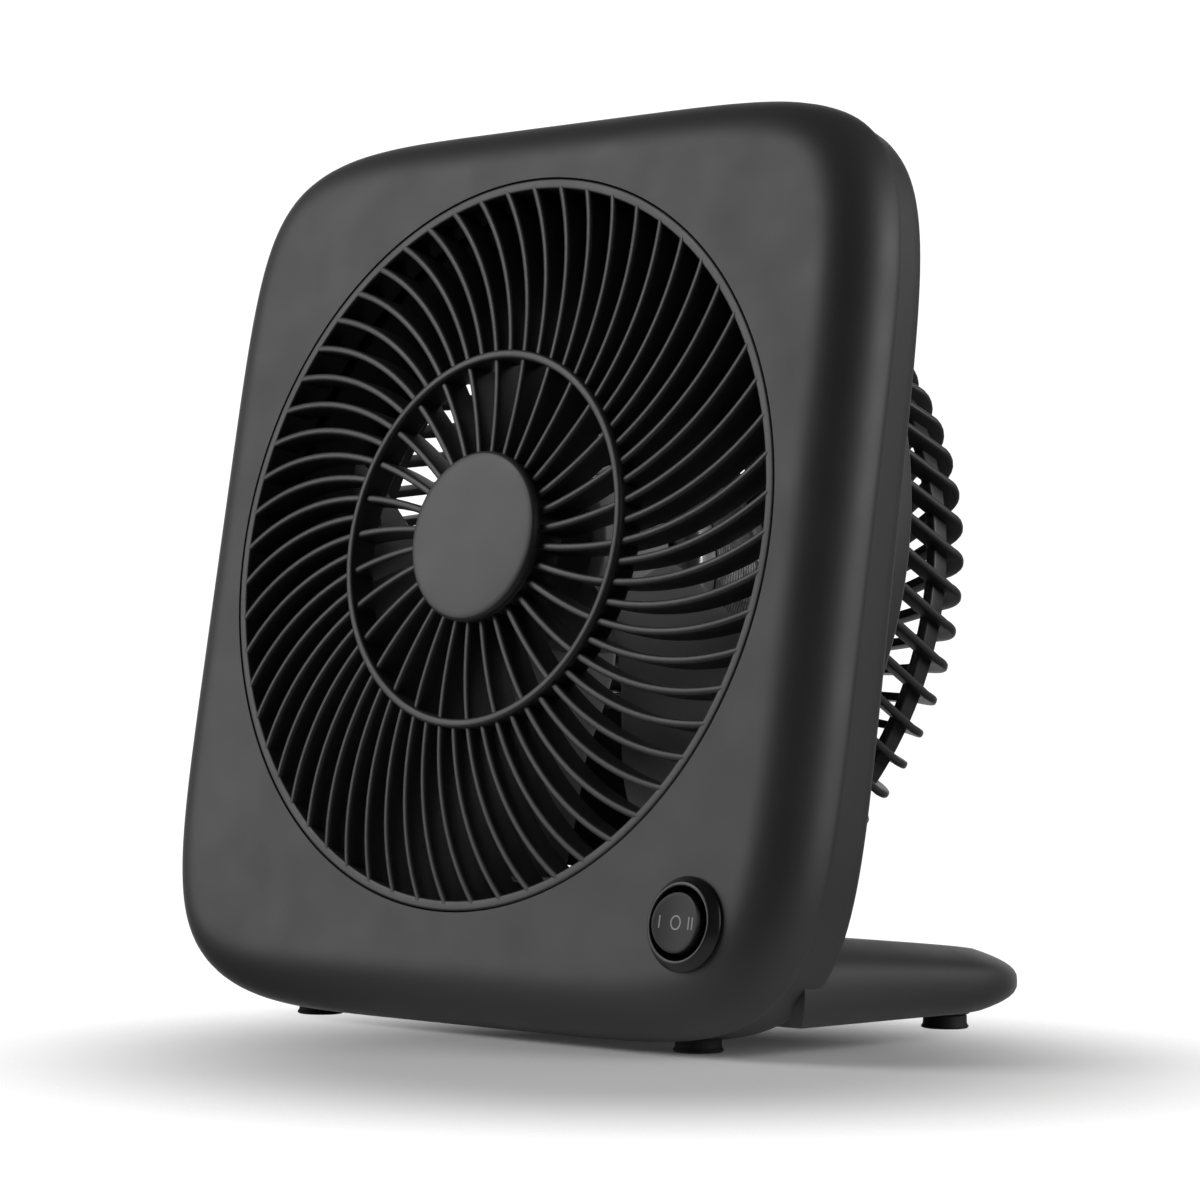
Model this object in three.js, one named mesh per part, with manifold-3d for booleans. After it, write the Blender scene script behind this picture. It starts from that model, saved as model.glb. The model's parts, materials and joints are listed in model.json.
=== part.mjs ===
// A small table-top box fan, built as the assembly it is: shells, grilles, impeller, motor, switch, feet.
// Millimetres, +Z up, front facing -Y. The origin is the point on the ground under the middle of the fan.
//
// Two frames are used. The base frame is level: X right, Y back, Z up from the ground.
// The head frame is tilted back: X right, Y = depth behind the front face, Z = up the face,
// with its origin at the middle of the round air opening.

import * as THREE from 'three';
import { mergeVertices } from 'three/addons/utils/BufferGeometryUtils.js';
import Module from 'manifold-3d';

const wasm = await Module();
wasm.setup();

// ---------------------------------------------------------------- driving dimensions

const GAP = 0.3;                      // clearance between touching pieces
const TILT = THREE.MathUtils.degToRad(9.43);
const FACE_HEIGHT = 126.9;            // middle of the air opening above the ground

// body outline (a squarish superellipse, so the sides bow and the corners are round)
const BODY_HALF_WIDTH = 116;
const BODY_HALF_HEIGHT = 119.5;
const BODY_CENTRE = -4.5;             // middle of the outline, up the face from the opening's middle
const BODY_SQUARENESS = 6;
const SHELL_WALL = 2.5;
const EDGE_ROUND = 15;                // radius of the front shell's edge, and so its depth
const SEAM_STEP = 1;                  // how far the rear shell is set in at the seam
const BACK_DEPTH = 28.5;              // depth of the rear shell's back wall
const BACK_LEAN = 0.02;               // the back wall is a little deeper towards the bottom
const DRUM_RADIUS = 111;              // round raised back of the rear shell
const DRUM_DEPTH = 38.7;

// base foot
const UNDERSIDE = 7.2;                // height of the flat underside
const FOOT_HALF_WIDTH = 105;
const FOOT_BACK = 118;
const FOOT_FRONT = 4;
const FOOT_CORNER = 47;
const FOOT_DROP_FRONT = 97.4;         // from the opening's middle down to the foot's top at the body
const FOOT_DROP_BACK = 107.4;         // and down to its top at the back
const FOOT_TOP_FRONT = FACE_HEIGHT - FOOT_DROP_FRONT;
const FOOT_TOP_BACK = FACE_HEIGHT - FOOT_DROP_BACK;

// front grille
const OPENING_RADIUS = 93.5;
const RIM_WIDTH = 2.7;
const RIM_DEPTH = 11.5;
const OUTER_RIBS = 60;
const RIB_THICKNESS = 2;
const RIB_DEPTH = 8.4;
const RING_RADIUS = 48.5;             // crest line of the middle ring
const RING_WIDTH = 2.4;
const DOME_HEIGHT = 3.9;              // how far the grille bulges forward at its middle
const HUB_RADIUS = 22;
const BADGE_RADIUS = 22.4;
const BADGE_THICKNESS = 2.7;

// rear grille
const BASKET_RADIUS = 91;
const BASKET_DEPTH = 89;
const BASKET_CORNER = 11;
const FIN_DEPTH = 5;
const FIN_THICKNESS = 2.2;

// impeller and motor
const BLADES = 5;
const TIP_CLEARANCE = 8;              // from the blade tips to the outside of the basket
const IMPELLER_RADIUS = BASKET_RADIUS - TIP_CLEARANCE;
const IMPELLER_FRONT = 16;
const IMPELLER_BACK = 43;
const IMPELLER_HUB_RADIUS = 24;
const SHAFT_RADIUS = 3;
const STATOR_RADIUS = 31;
const MOTOR_PLATE_MARGIN = 5;         // how far the basket's middle plate reaches past the motor
const MOTOR_PLATE_RADIUS = STATOR_RADIUS + MOTOR_PLATE_MARGIN;
const STATOR_FRONT = 54;
const STATOR_STACK = 16;
const ROTOR_RADIUS = 15.5;
const WINDING_LENGTH = 6.5;
const COVER_WALL = 1.5;
const BEARING_RADIUS = 6.5;
const BEARING_LENGTH = 5;

// wiring duct below the motor
const DUCT_HALF_WIDTH = 17;
const DUCT_FRONT = 60;
const DUCT_WALL = 2;
const LEAD_RADIUS = 1.5;

// switch
const SWITCH_X = 84.2;
const SWITCH_UP = -95.3;
const BEZEL_RADIUS = 11.7;
const BEZEL_PROUD = 3;
const SWITCH_BARREL = 9.8;
const SWITCH_DEPTH = 15;
const ROCKER_RADIUS = 7.4;
const ROCKER_WELL = 8.9;

// rubber feet
const RUBBER_HEIGHT = 3.5;
const RUBBER_RADIUS = 5.8;
const RUBBER_LIP = 6.4;
const FEET_X = 69.2;
const FEET_Y = [5.7, 102.5];

// ---------------------------------------------------------------- materials

const finish = (color, roughness, metalness = 0) => new THREE.MeshStandardMaterial({ color, roughness, metalness });
const charcoalPlastic = finish(0x4b4b4d, 0.55);
const darkPlastic = finish(0x2d2d2f, 0.6);
const blackPlastic = finish(0x141414, 0.4);
const rubber = finish(0x0b0b0b, 0.85);
const zincSteel = finish(0xa8a9ab, 0.35, 1);
const siliconSteel = finish(0x6d6e72, 0.5, 1);
const copper = finish(0xb4693a, 0.4, 1);
const sinteredBronze = finish(0x94744a, 0.5, 1);
const leadSleeve = finish(0x1d1d1f, 0.5);

// ---------------------------------------------------------------- solids

const radians = THREE.MathUtils.degToRad;
const MERGE_TOLERANCE = 0.02;

function solid(geometry) {
  const bare = new THREE.BufferGeometry();
  bare.setAttribute('position', geometry.attributes.position.clone());
  if (geometry.index) bare.setIndex(geometry.index.clone());
  const merged = mergeVertices(bare, 1e-4);
  return new wasm.Manifold(new wasm.Mesh({
    numProp: 3,
    vertProperties: new Float32Array(merged.attributes.position.array),
    triVerts: new Uint32Array(merged.index.array),
  }));
}

// Slivers that the cuts leave are merged away within two hundredths of a millimetre.
function geometryOf(body) {
  const mesh = body.simplify(MERGE_TOLERANCE).getMesh();
  const geometry = new THREE.BufferGeometry();
  geometry.setAttribute('position', new THREE.BufferAttribute(new Float32Array(mesh.vertProperties), 3));
  geometry.setIndex(new THREE.BufferAttribute(new Uint32Array(mesh.triVerts), 1));
  geometry.computeVertexNormals();
  return geometry;
}

function joined(bodies) {
  return bodies.reduce((sum, body) => sum.add(body));
}

// A closed body through a list of rings of points, all with the same number of points.
function loft(rings) {
  const size = rings[0].length;
  const points = rings.flat();
  const index = [];
  for (let ring = 0; ring + 1 < rings.length; ring += 1) {
    for (let i = 0; i < size; i += 1) {
      const a = ring * size + i;
      const b = ring * size + (i + 1) % size;
      index.push(a, b, a + size, b, b + size, a + size);
    }
  }
  const last = (rings.length - 1) * size;
  for (let i = 1; i + 1 < size; i += 1) {
    index.push(0, i + 1, i);
    index.push(last, last + i, last + i + 1);
  }
  const geometry = new THREE.BufferGeometry().setFromPoints(points);
  geometry.setIndex(volumeOf(points, index) < 0 ? index.reverse() : index);
  return solid(geometry);
}

function volumeOf(points, index) {
  let sum = 0;
  for (let i = 0; i < index.length; i += 3) {
    const [a, b, c] = [points[index[i]], points[index[i + 1]], points[index[i + 2]]];
    sum += a.dot(b.clone().cross(c));
  }
  return sum;
}

// A turned body about the fan axis. The profile is a closed list of [radius, depth].
function turned(profile, segments = 24) {
  const points = profile.map(([radius, depth]) => new THREE.Vector2(radius, depth));
  if (profile[0][0] > 0) points.push(points[0].clone());
  let area = 0;
  profile.forEach(([r1, d1], i) => {
    const [r2, d2] = profile[(i + 1) % profile.length];
    area += r1 * d2 - r2 * d1;
  });
  if (area > 0) points.reverse();
  const body = solid(new THREE.LatheGeometry(points, segments));
  return body.volume() < 0 ? solid(new THREE.LatheGeometry(points.reverse(), segments)) : body;
}

// A ring about the fan axis with a rectangular section.
function ring(inner, outer, front, back, segments = 24) {
  return turned([[inner, front], [outer, front], [outer, back], [inner, back]], segments);
}

// A disc or pin along the fan axis, centred at x and up the face.
function pin(radius, front, back, x = 0, up = 0, segments = 8) {
  return turned([[0, front], [radius, front], [radius, back], [0, back]], segments).translate([x, 0, up]);
}

function block(xSize, ySize, zSize, x, y, z) {
  return solid(new THREE.BoxGeometry(xSize, ySize, zSize)).translate([x, y, z]);
}

// A body turned about the vertical, from [radius, height] points.
function turnedUpright(profile, segments = 12) {
  return turned(profile, segments).rotate([90, 0, 0]).mirror([0, 1, 0]);
}

// ---------------------------------------------------------------- body outline

// One ring of the outline, pulled in along its normals, at the depth that depthAt gives for a height.
function outlineRing(inset, depthAt, count = 44) {
  const points = [];
  for (let i = 0; i < count; i += 1) {
    const even = (2 * Math.PI * i) / count;
    const angle = even + 0.11 * Math.sin(4 * even);
    const cos = Math.cos(angle);
    const sin = Math.sin(angle);
    const n = BODY_SQUARENESS;
    const reach = (Math.abs(cos / BODY_HALF_WIDTH) ** n + Math.abs(sin / BODY_HALF_HEIGHT) ** n) ** (-1 / n);
    const x = reach * cos;
    const up = reach * sin;
    const normal = new THREE.Vector2(
      Math.sign(x) * Math.abs(x / BODY_HALF_WIDTH) ** (n - 1) / BODY_HALF_WIDTH,
      Math.sign(up) * Math.abs(up / BODY_HALF_HEIGHT) ** (n - 1) / BODY_HALF_HEIGHT,
    ).normalize();
    const height = up - inset * normal.y + BODY_CENTRE;
    points.push(new THREE.Vector3(x - inset * normal.x, depthAt(height), height));
  }
  return points;
}

const levelRing = (inset, depth) => outlineRing(inset, () => depth);
const leaningRing = (inset, depth) => outlineRing(inset, (height) => depth - BACK_LEAN * height);

// Everything below a level height, as a body in the head frame.
function groundBelow(height) {
  const deep = 200;
  const slab = block(600, 600, deep, 0, 0, height - deep / 2 - FACE_HEIGHT);
  return slab.rotate([THREE.MathUtils.radToDeg(TILT), 0, 0]);
}

// A body of the level base frame, moved into the head frame.
function intoHead(body) {
  return body.translate([0, 0, -FACE_HEIGHT]).rotate([THREE.MathUtils.radToDeg(TILT), 0, 0]);
}

// ---------------------------------------------------------------- screw places

const grilleScrews = [45, 135, 225, 315].map((angle) => {
  const radius = OPENING_RADIUS + RIM_WIDTH + 9;
  return [radius * Math.cos(radians(angle)), radius * Math.sin(radians(angle))];
});
const upperScrew = [BODY_HALF_WIDTH - 30, BODY_HALF_HEIGHT + BODY_CENTRE - 31.5];
const lowerScrew = [45, BODY_CENTRE - BODY_HALF_HEIGHT + 11.5];
const housingScrews = [
  [-upperScrew[0], upperScrew[1]], upperScrew, [-lowerScrew[0], lowerScrew[1]], lowerScrew,
];
const rearGrilleScrews = [45, 135, 225, 315].map((angle) => {
  const radius = BASKET_RADIUS + 8;
  return [radius * Math.cos(radians(angle)), radius * Math.sin(radians(angle))];
});
const motorScrews = [45, 135, 225, 315].map((angle) => {
  const radius = STATOR_RADIUS - 4.5;
  return [radius * Math.cos(radians(angle)), radius * Math.sin(radians(angle))];
});
const baseScrews = [[-48, 26], [48, 26], [-48, 82], [48, 82]];

const SCREW_SHANK = 1.5;
const SCREW_HEAD = 3.1;
const SCREW_HEAD_HEIGHT = 1.8;
const BOSS_RADIUS = 4;
const pilotRadius = SCREW_SHANK + GAP;

// A pan-head screw along the fan axis, its head at the back.
function screw([x, up], tip, headFront) {
  return turned([
    [0, tip], [SCREW_SHANK, tip + 1], [SCREW_SHANK, headFront], [SCREW_HEAD, headFront],
    [SCREW_HEAD * 0.8, headFront + SCREW_HEAD_HEIGHT], [0, headFront + SCREW_HEAD_HEIGHT],
  ], 8).translate([x, 0, up]);
}

// ---------------------------------------------------------------- front housing

const rimRadius = OPENING_RADIUS + RIM_WIDTH;
const earFront = RIM_DEPTH - 2.5;

function frontHousing() {
  const quarter = (wall, steps) => steps.map((angle) => {
    const round = EDGE_ROUND - wall;
    return levelRing(wall + round * (1 - Math.sin(radians(angle))), wall + round * (1 - Math.cos(radians(angle))));
  });
  const outside = loft(quarter(0, [0, 22.5, 45, 67.5, 90]));
  const inside = loft([...quarter(SHELL_WALL, [0, 45, 90]), levelRing(SHELL_WALL, EDGE_ROUND + 5)])
    .subtract(groundBelow(UNDERSIDE + SHELL_WALL));
  const bosses = [
    ...grilleScrews.map(([x, up]) => pin(BOSS_RADIUS, SHELL_WALL - 0.5, earFront - GAP, x, up)),
    ...housingScrews.map(([x, up]) => pin(BOSS_RADIUS, SHELL_WALL - 0.5, EDGE_ROUND - 1, x, up)),
  ];
  const pilots = [
    ...grilleScrews.map(([x, up]) => pin(pilotRadius, SHELL_WALL + 1, EDGE_ROUND, x, up, 6)),
    ...housingScrews.map(([x, up]) => pin(pilotRadius, SHELL_WALL + 1, EDGE_ROUND, x, up, 6)),
  ];
  const airOpening = pin(rimRadius + GAP, -5, 30, 0, 0, 60);
  const switchHole = pin(SWITCH_BARREL + GAP, -5, 30, SWITCH_X, SWITCH_UP, 24);
  return joined([outside.subtract(inside), ...bosses])
    .subtract(joined([airOpening, switchHole, ...pilots]));
}

// ---------------------------------------------------------------- fins and ribs

// A curved bar. Each station gives its near and far edge as [radius, depth], its angle about the
// fan axis and its thickness across.
function bar(stations) {
  return loft(stations.map(({ near, far, angle, thickness }) => {
    const corner = ([radius, depth], side) => {
      const turn = angle + (side * thickness) / 2 / radius;
      return new THREE.Vector3(radius * Math.cos(turn), depth, radius * Math.sin(turn));
    };
    return [corner(near, -1), corner(near, 1), corner(far, 1), corner(far, -1)];
  }));
}

// The swirl of the front ribs: the angle in degrees that a rib has turned at a radius.
const SWIRL_START = 0.27;
function frontSwirl(radius) {
  const along = radius / OPENING_RADIUS - SWIRL_START;
  return 5.66 + 13.3 * along + 16.2 * along ** 2;
}

// Depth of the rib crests: nothing at the rim, and bulging forward towards the hub.
function domeDepth(radius) {
  return -DOME_HEIGHT * Math.cos((Math.PI / 2) * Math.min(1, radius / OPENING_RADIUS)) ** 0.75;
}

function frontRib(index, inner, outer, segments) {
  const stations = [];
  for (let i = 0; i <= segments; i += 1) {
    const radius = inner + ((outer - inner) * i) / segments;
    const crest = domeDepth(radius);
    const along = radius / OPENING_RADIUS - SWIRL_START;
    const slope = (radius / OPENING_RADIUS) * radians(13.3 + 32.4 * along);
    stations.push({
      near: [radius, crest],
      far: [radius, crest + RIB_DEPTH],
      angle: radians(frontSwirl(radius) + (360 / OUTER_RIBS) * index),
      thickness: RIB_THICKNESS * Math.hypot(1, slope),
    });
  }
  return bar(stations);
}

function frontGrille() {
  const ribs = [];
  for (let i = 0; i < OUTER_RIBS; i += 1) {
    ribs.push(frontRib(i, RING_RADIUS, OPENING_RADIUS + 1, 2));
    if (i % 2 === 0) ribs.push(frontRib(i, HUB_RADIUS - 1, RING_RADIUS, 1));
  }
  const ringCrest = domeDepth(RING_RADIUS) - 1.2;
  const middleRing = ring(
    RING_RADIUS - RING_WIDTH / 2, RING_RADIUS + RING_WIDTH / 2, ringCrest, ringCrest + RIB_DEPTH, OUTER_RIBS / 2,
  );
  const rim = ring(OPENING_RADIUS, rimRadius, 0, RIM_DEPTH, 60);
  const hubFront = domeDepth(HUB_RADIUS) - 0.4;
  const hub = turned([
    [0, hubFront], [HUB_RADIUS, hubFront], [HUB_RADIUS, hubFront + RIB_DEPTH],
    [HUB_RADIUS - 2, hubFront + RIB_DEPTH], [HUB_RADIUS - 2, hubFront + 2], [0, hubFront + 2],
  ], 30);
  const ears = grilleScrews.map(([x, up]) => {
    const angle = Math.atan2(up, x);
    const length = 14;
    const middle = rimRadius - 1 + length / 2;
    const tab = solid(new THREE.BoxGeometry(length, RIM_DEPTH - earFront, 11))
      .rotate([0, -THREE.MathUtils.radToDeg(angle), 0]);
    return tab.translate([middle * Math.cos(angle), (earFront + RIM_DEPTH) / 2, middle * Math.sin(angle)]);
  });
  const holes = grilleScrews.map(([x, up]) => pin(pilotRadius, earFront - 1, RIM_DEPTH + 1, x, up, 6));
  return joined([...ribs, middleRing, rim, hub, ...ears]).subtract(joined(holes));
}

function grilleBadge() {
  const back = domeDepth(HUB_RADIUS) - 0.4 - GAP;
  const front = back - BADGE_THICKNESS;
  return turned([
    [0, front], [BADGE_RADIUS - 1.6, front], [BADGE_RADIUS - 0.4, front + 0.6], [BADGE_RADIUS, front + 1.6],
    [BADGE_RADIUS, back], [0, back],
  ], 24);
}

// ---------------------------------------------------------------- rear housing with its base foot

// The foot's plan, pulled in by an inset: straight front and sides, big round back corners.
function footPlan(inset) {
  const half = FOOT_HALF_WIDTH - inset;
  const back = FOOT_BACK - inset;
  const corner = FOOT_CORNER - inset;
  const points = [[-half, FOOT_FRONT + inset], [half, FOOT_FRONT + inset], [half, (back + FOOT_FRONT) / 3]];
  for (let i = 0; i <= 4; i += 1) {
    const angle = (Math.PI / 2) * (i / 4);
    points.push([half - corner * (1 - Math.cos(angle)), back - corner * (1 - Math.sin(angle))]);
  }
  for (let i = 0; i <= 4; i += 1) {
    const angle = (Math.PI / 2) * (1 + i / 4);
    points.push([-half + corner * (1 + Math.cos(angle)), back - corner * (1 - Math.sin(angle))]);
  }
  points.push([-half, (back + FOOT_FRONT) / 3]);
  return points;
}

function footTop(y) {
  const along = Math.max(0, (y - FOOT_FRONT) / (FOOT_BACK - FOOT_FRONT));
  return FOOT_TOP_FRONT + (FOOT_TOP_BACK - FOOT_TOP_FRONT) * along ** 1.3;
}

// The foot as a pillow: the share of its height against how far its outline is pulled in there.
const FOOT_ROUNDING = [[0, 8], [0.12, 2.5], [0.45, 0], [0.75, 2], [0.92, 6], [1, 11]];

function footBody(wall) {
  const floor = UNDERSIDE + wall;
  return loft(FOOT_ROUNDING.map(([share, inset]) => footPlan(inset + wall).map(([x, y]) => {
    const height = floor + share * (footTop(y) - wall - floor);
    return new THREE.Vector3(x, y, height);
  })));
}

// The round hollow across the foot's top that the basket sits over.
function saddle(spare) {
  const radius = BASKET_RADIUS + spare;
  const depth = BASKET_DEPTH + spare;
  return turned([
    [0, DRUM_DEPTH + spare], [radius, DRUM_DEPTH + spare], [radius, depth - BASKET_CORNER],
    [radius - BASKET_CORNER * 0.3, depth - BASKET_CORNER * 0.3], [radius - BASKET_CORNER, depth], [0, depth],
  ], 40);
}

const COVER_HALF_WIDTH = 58;
const COVER_Y = [16, 92];
const COVER_THICKNESS = 3;

function coverPlate(spare, low, high) {
  const depth = COVER_Y[1] - COVER_Y[0] + 2 * spare;
  const width = 2 * (COVER_HALF_WIDTH + spare);
  return block(width, depth, high - low, 0, (COVER_Y[0] + COVER_Y[1]) / 2, (low + high) / 2);
}

const upright = (radius, low, high, x, y, segments = 8) => (
  turnedUpright([[0, low], [radius, low], [radius, high], [0, high]], segments).translate([x, y, 0])
);

const feetPlaces = [[-FEET_X, FEET_Y[0]], [FEET_X, FEET_Y[0]], [-FEET_X, FEET_Y[1]], [FEET_X, FEET_Y[1]]];
const FOOT_STEM = 2.4;
const stemTop = UNDERSIDE + 2;
const screwSeat = BACK_DEPTH - 5;
const glandPlace = [-85, -85];
const GLAND_RADIUS = 5;
const LEAD_EXIT_DEPTH = 71;           // where the motor lead drops from the basket into the foot

function rearHousing() {
  const back = BACK_DEPTH;
  const seam = EDGE_ROUND + GAP;
  const step = SEAM_STEP;
  const outside = loft([
    levelRing(step, seam), leaningRing(step + 0.7, back - 3.5), leaningRing(step + 2, back - 1),
    leaningRing(step + 4.5, back),
  ]);
  const tongueInset = SHELL_WALL + GAP + 0.8;
  const tongue = loft([levelRing(tongueInset, seam - 2), levelRing(tongueInset, seam + 1)]);
  const wall = tongueInset + 1.4;
  const inside = loft([
    levelRing(wall, seam - 10), levelRing(wall, seam + 2), leaningRing(wall, back - SHELL_WALL),
  ]).subtract(groundBelow(UNDERSIDE + SHELL_WALL));
  const drum = turned([
    [0, back - 6], [DRUM_RADIUS, back - 6], [DRUM_RADIUS - 1.5, DRUM_DEPTH - 2.5],
    [DRUM_RADIUS - 4, DRUM_DEPTH], [0, DRUM_DEPTH],
  ], 40);
  const drumInside = turned([
    [0, back - 8], [DRUM_RADIUS - 4, back - 8], [DRUM_RADIUS - 5, DRUM_DEPTH - SHELL_WALL],
    [0, DRUM_DEPTH - SHELL_WALL],
  ], 40);
  const mouth = BASKET_RADIUS + 1 + GAP;
  const mouthWall = ring(mouth - 0.5, mouth + 2, RIM_DEPTH + 1.5, DRUM_DEPTH - 0.5, OUTER_RIBS / 2);
  const mouthHole = pin(mouth, 0, 60, 0, 0, OUTER_RIBS / 2);
  const foot = intoHead(footBody(0)).subtract(saddle(1.5));
  const footInside = intoHead(footBody(SHELL_WALL)).subtract(saddle(1.5 + SHELL_WALL));
  const footBosses = intoHead(joined(baseScrews.map(([x, y]) => (
    upright(BOSS_RADIUS, UNDERSIDE + COVER_THICKNESS + GAP, footTop(y) - 1, x, y)
  ))));
  const tubes = housingScrews.map(([x, up]) => pin(BOSS_RADIUS + 1, EDGE_ROUND - 1 + GAP, back - 1, x, up));
  const grilleBosses = rearGrilleScrews.map(([x, up]) => pin(BOSS_RADIUS, back, DRUM_DEPTH - 1, x, up));
  const shell = joined([outside, tongue, drum, foot])
    .subtract(joined([inside, drumInside, footInside]))
    .add(joined([mouthWall, ...tubes, ...grilleBosses, footBosses]))
    .subtract(groundBelow(UNDERSIDE));
  const chinRoom = groundBelow(UNDERSIDE + SHELL_WALL + GAP)
    .intersect(block(600, 2 * seam, 600, 0, 0, 0));
  const feetBosses = intoHead(joined(feetPlaces.map(([x, y]) => (
    upright(RUBBER_LIP + 0.1, RUBBER_HEIGHT + GAP, UNDERSIDE + SHELL_WALL, x, y)
  ))));
  const cuts = [
    chinRoom,
    mouthHole,
    intoHead(coverPlate(GAP, 0, UNDERSIDE + COVER_THICKNESS + GAP)),
    intoHead(joined(feetPlaces.map(([x, y]) => upright(FOOT_STEM + GAP, 0, stemTop + GAP, x, y, 8)))),
    intoHead(joined(baseScrews.map(([x, y]) => upright(pilotRadius, 0, UNDERSIDE + 12, x, y, 6)))),
    ...housingScrews.map(([x, up]) => pin(pilotRadius, 10, 40, x, up, 6)),
    ...housingScrews.map(([x, up]) => pin(SCREW_HEAD + 0.6, screwSeat, 40, x, up)),
    ...rearGrilleScrews.map(([x, up]) => pin(pilotRadius, 30, 45, x, up, 6)),
    ...grilleScrews.map(([x, up]) => pin(SCREW_HEAD + 0.6, earFront, RIM_DEPTH + 2 * GAP + SCREW_HEAD_HEIGHT, x, up)),
    pin(GLAND_RADIUS + GAP, 20, 45, glandPlace[0], glandPlace[1], 16),
    block(LEAD_RADIUS * 5, 9, 14, 0, LEAD_EXIT_DEPTH - 1, -(BASKET_RADIUS + 5)),
  ];
  return shell.add(feetBosses).subtract(joined(cuts));
}

// ---------------------------------------------------------------- rear grille (the basket)

const basketInner = BASKET_RADIUS - FIN_DEPTH;
const plateFront = BASKET_DEPTH - FIN_DEPTH;
const BACK_RING_RADIUS = 60;

// One basket fin: straight back along the wall, round the corner, and in across the back.
function basketFin(index) {
  const start = (360 / OUTER_RIBS) * index + 3;
  const station = (near, far, swing) => ({
    near, far, angle: radians(start - swing), thickness: FIN_THICKNESS,
  });
  const bend = BASKET_RADIUS - BASKET_CORNER;
  const turn = BASKET_DEPTH - BASKET_CORNER;
  const inside = BASKET_CORNER - FIN_DEPTH;
  const corner = [12, 78].map((angle) => {
    const [sin, cos] = [Math.sin(radians(angle)), Math.cos(radians(angle))];
    return station(
      [bend + BASKET_CORNER * cos, turn + BASKET_CORNER * sin],
      [bend + inside * cos, turn + inside * sin], 8 + angle / 45,
    );
  });
  const wall = station([BASKET_RADIUS, DRUM_DEPTH + 1], [basketInner, DRUM_DEPTH + 1], 0);
  const toRing = station([BACK_RING_RADIUS, BASKET_DEPTH], [BACK_RING_RADIUS, plateFront], 15);
  const stations = [wall, ...corner, toRing];
  if (index % 2 === 0) {
    stations.push(station([MOTOR_PLATE_RADIUS - 1, BASKET_DEPTH], [MOTOR_PLATE_RADIUS - 1, plateFront], 25));
  }
  return bar(stations);
}

function rearGrille() {
  const fins = [];
  for (let i = 0; i < OUTER_RIBS; i += 1) fins.push(basketFin(i));
  const earBack = DRUM_DEPTH + GAP + 2.6;
  const seatRing = ring(basketInner - 0.8, BASKET_RADIUS + 1, DRUM_DEPTH - 5, earBack, OUTER_RIBS / 2);
  const backRing = ring(BACK_RING_RADIUS - 1.2, BACK_RING_RADIUS + 1.2, plateFront, BASKET_DEPTH - 0.8, 30);
  const plate = turned([
    [0, plateFront], [MOTOR_PLATE_RADIUS, plateFront], [MOTOR_PLATE_RADIUS, BASKET_DEPTH - 0.3],
    [MOTOR_PLATE_RADIUS - 2, BASKET_DEPTH - 0.3], [MOTOR_PLATE_RADIUS - 2, plateFront + 3], [0, plateFront + 3],
  ], 30);
  const ears = rearGrilleScrews.map(([x, up]) => {
    const tab = block(14, earBack - DRUM_DEPTH - GAP, 10, BASKET_RADIUS + 5.5, (earBack + DRUM_DEPTH + GAP) / 2, 0);
    return tab.rotate([0, -THREE.MathUtils.radToDeg(Math.atan2(up, x)), 0]);
  });
  const standoffs = motorScrews.map(([x, up]) => pin(BOSS_RADIUS, motorBack + GAP, plateFront + 1, x, up));
  const strutTop = -MOTOR_PLATE_RADIUS + 2;
  const strutLow = -(BASKET_RADIUS - BASKET_CORNER);
  const strut = block(
    2 * DUCT_HALF_WIDTH, 3, strutTop - strutLow, 0, plateFront + 1.5, (strutTop + strutLow) / 2,
  );
  const [stripFront, stripBack] = [DRUM_DEPTH + 1, BASKET_DEPTH - BASKET_CORNER];
  const strip = block(
    14, stripBack - stripFront, FIN_DEPTH - 0.4,
    0, (stripBack + stripFront) / 2, -(basketInner + FIN_DEPTH / 2 - 0.2),
  );
  const leadHole = block(LEAD_RADIUS * 5, 9, 2 * FIN_DEPTH, 0, LEAD_EXIT_DEPTH, -BASKET_RADIUS);
  const holes = [
    ...rearGrilleScrews.map(([x, up]) => pin(pilotRadius, 30, 50, x, up, 6)),
    ...motorScrews.map(([x, up]) => pin(pilotRadius, 60, 95, x, up, 6)),
  ];
  return joined([...fins, seatRing, backRing, plate, strut, strip, ...ears, ...standoffs])
    .subtract(joined([leadHole, ...holes]));
}

function wireDuct() {
  const back = plateFront - GAP;
  const [top, bottom] = [-(STATOR_RADIUS + 3), -(basketInner - 9)];
  const width = 2 * DUCT_HALF_WIDTH;
  const outside = block(width, back - DUCT_FRONT, top - bottom, 0, (back + DUCT_FRONT) / 2, (top + bottom) / 2);
  const room = block(
    width - 2 * DUCT_WALL, 40, top - bottom, 0, DUCT_FRONT + DUCT_WALL + 20, (top + bottom) / 2 + DUCT_WALL,
  );
  const leadWay = block(6, 10, 10, 0, DUCT_FRONT + 11, bottom);
  return outside.subtract(joined([room, leadWay]));
}

// ---------------------------------------------------------------- motor

const statorBack = STATOR_FRONT + STATOR_STACK;
const coverLength = WINDING_LENGTH + 0.7;
const motorFront = STATOR_FRONT - GAP - coverLength - COVER_WALL;
const motorBack = statorBack + GAP + coverLength + COVER_WALL;
const shaftHole = SHAFT_RADIUS + 2 * GAP;

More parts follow.
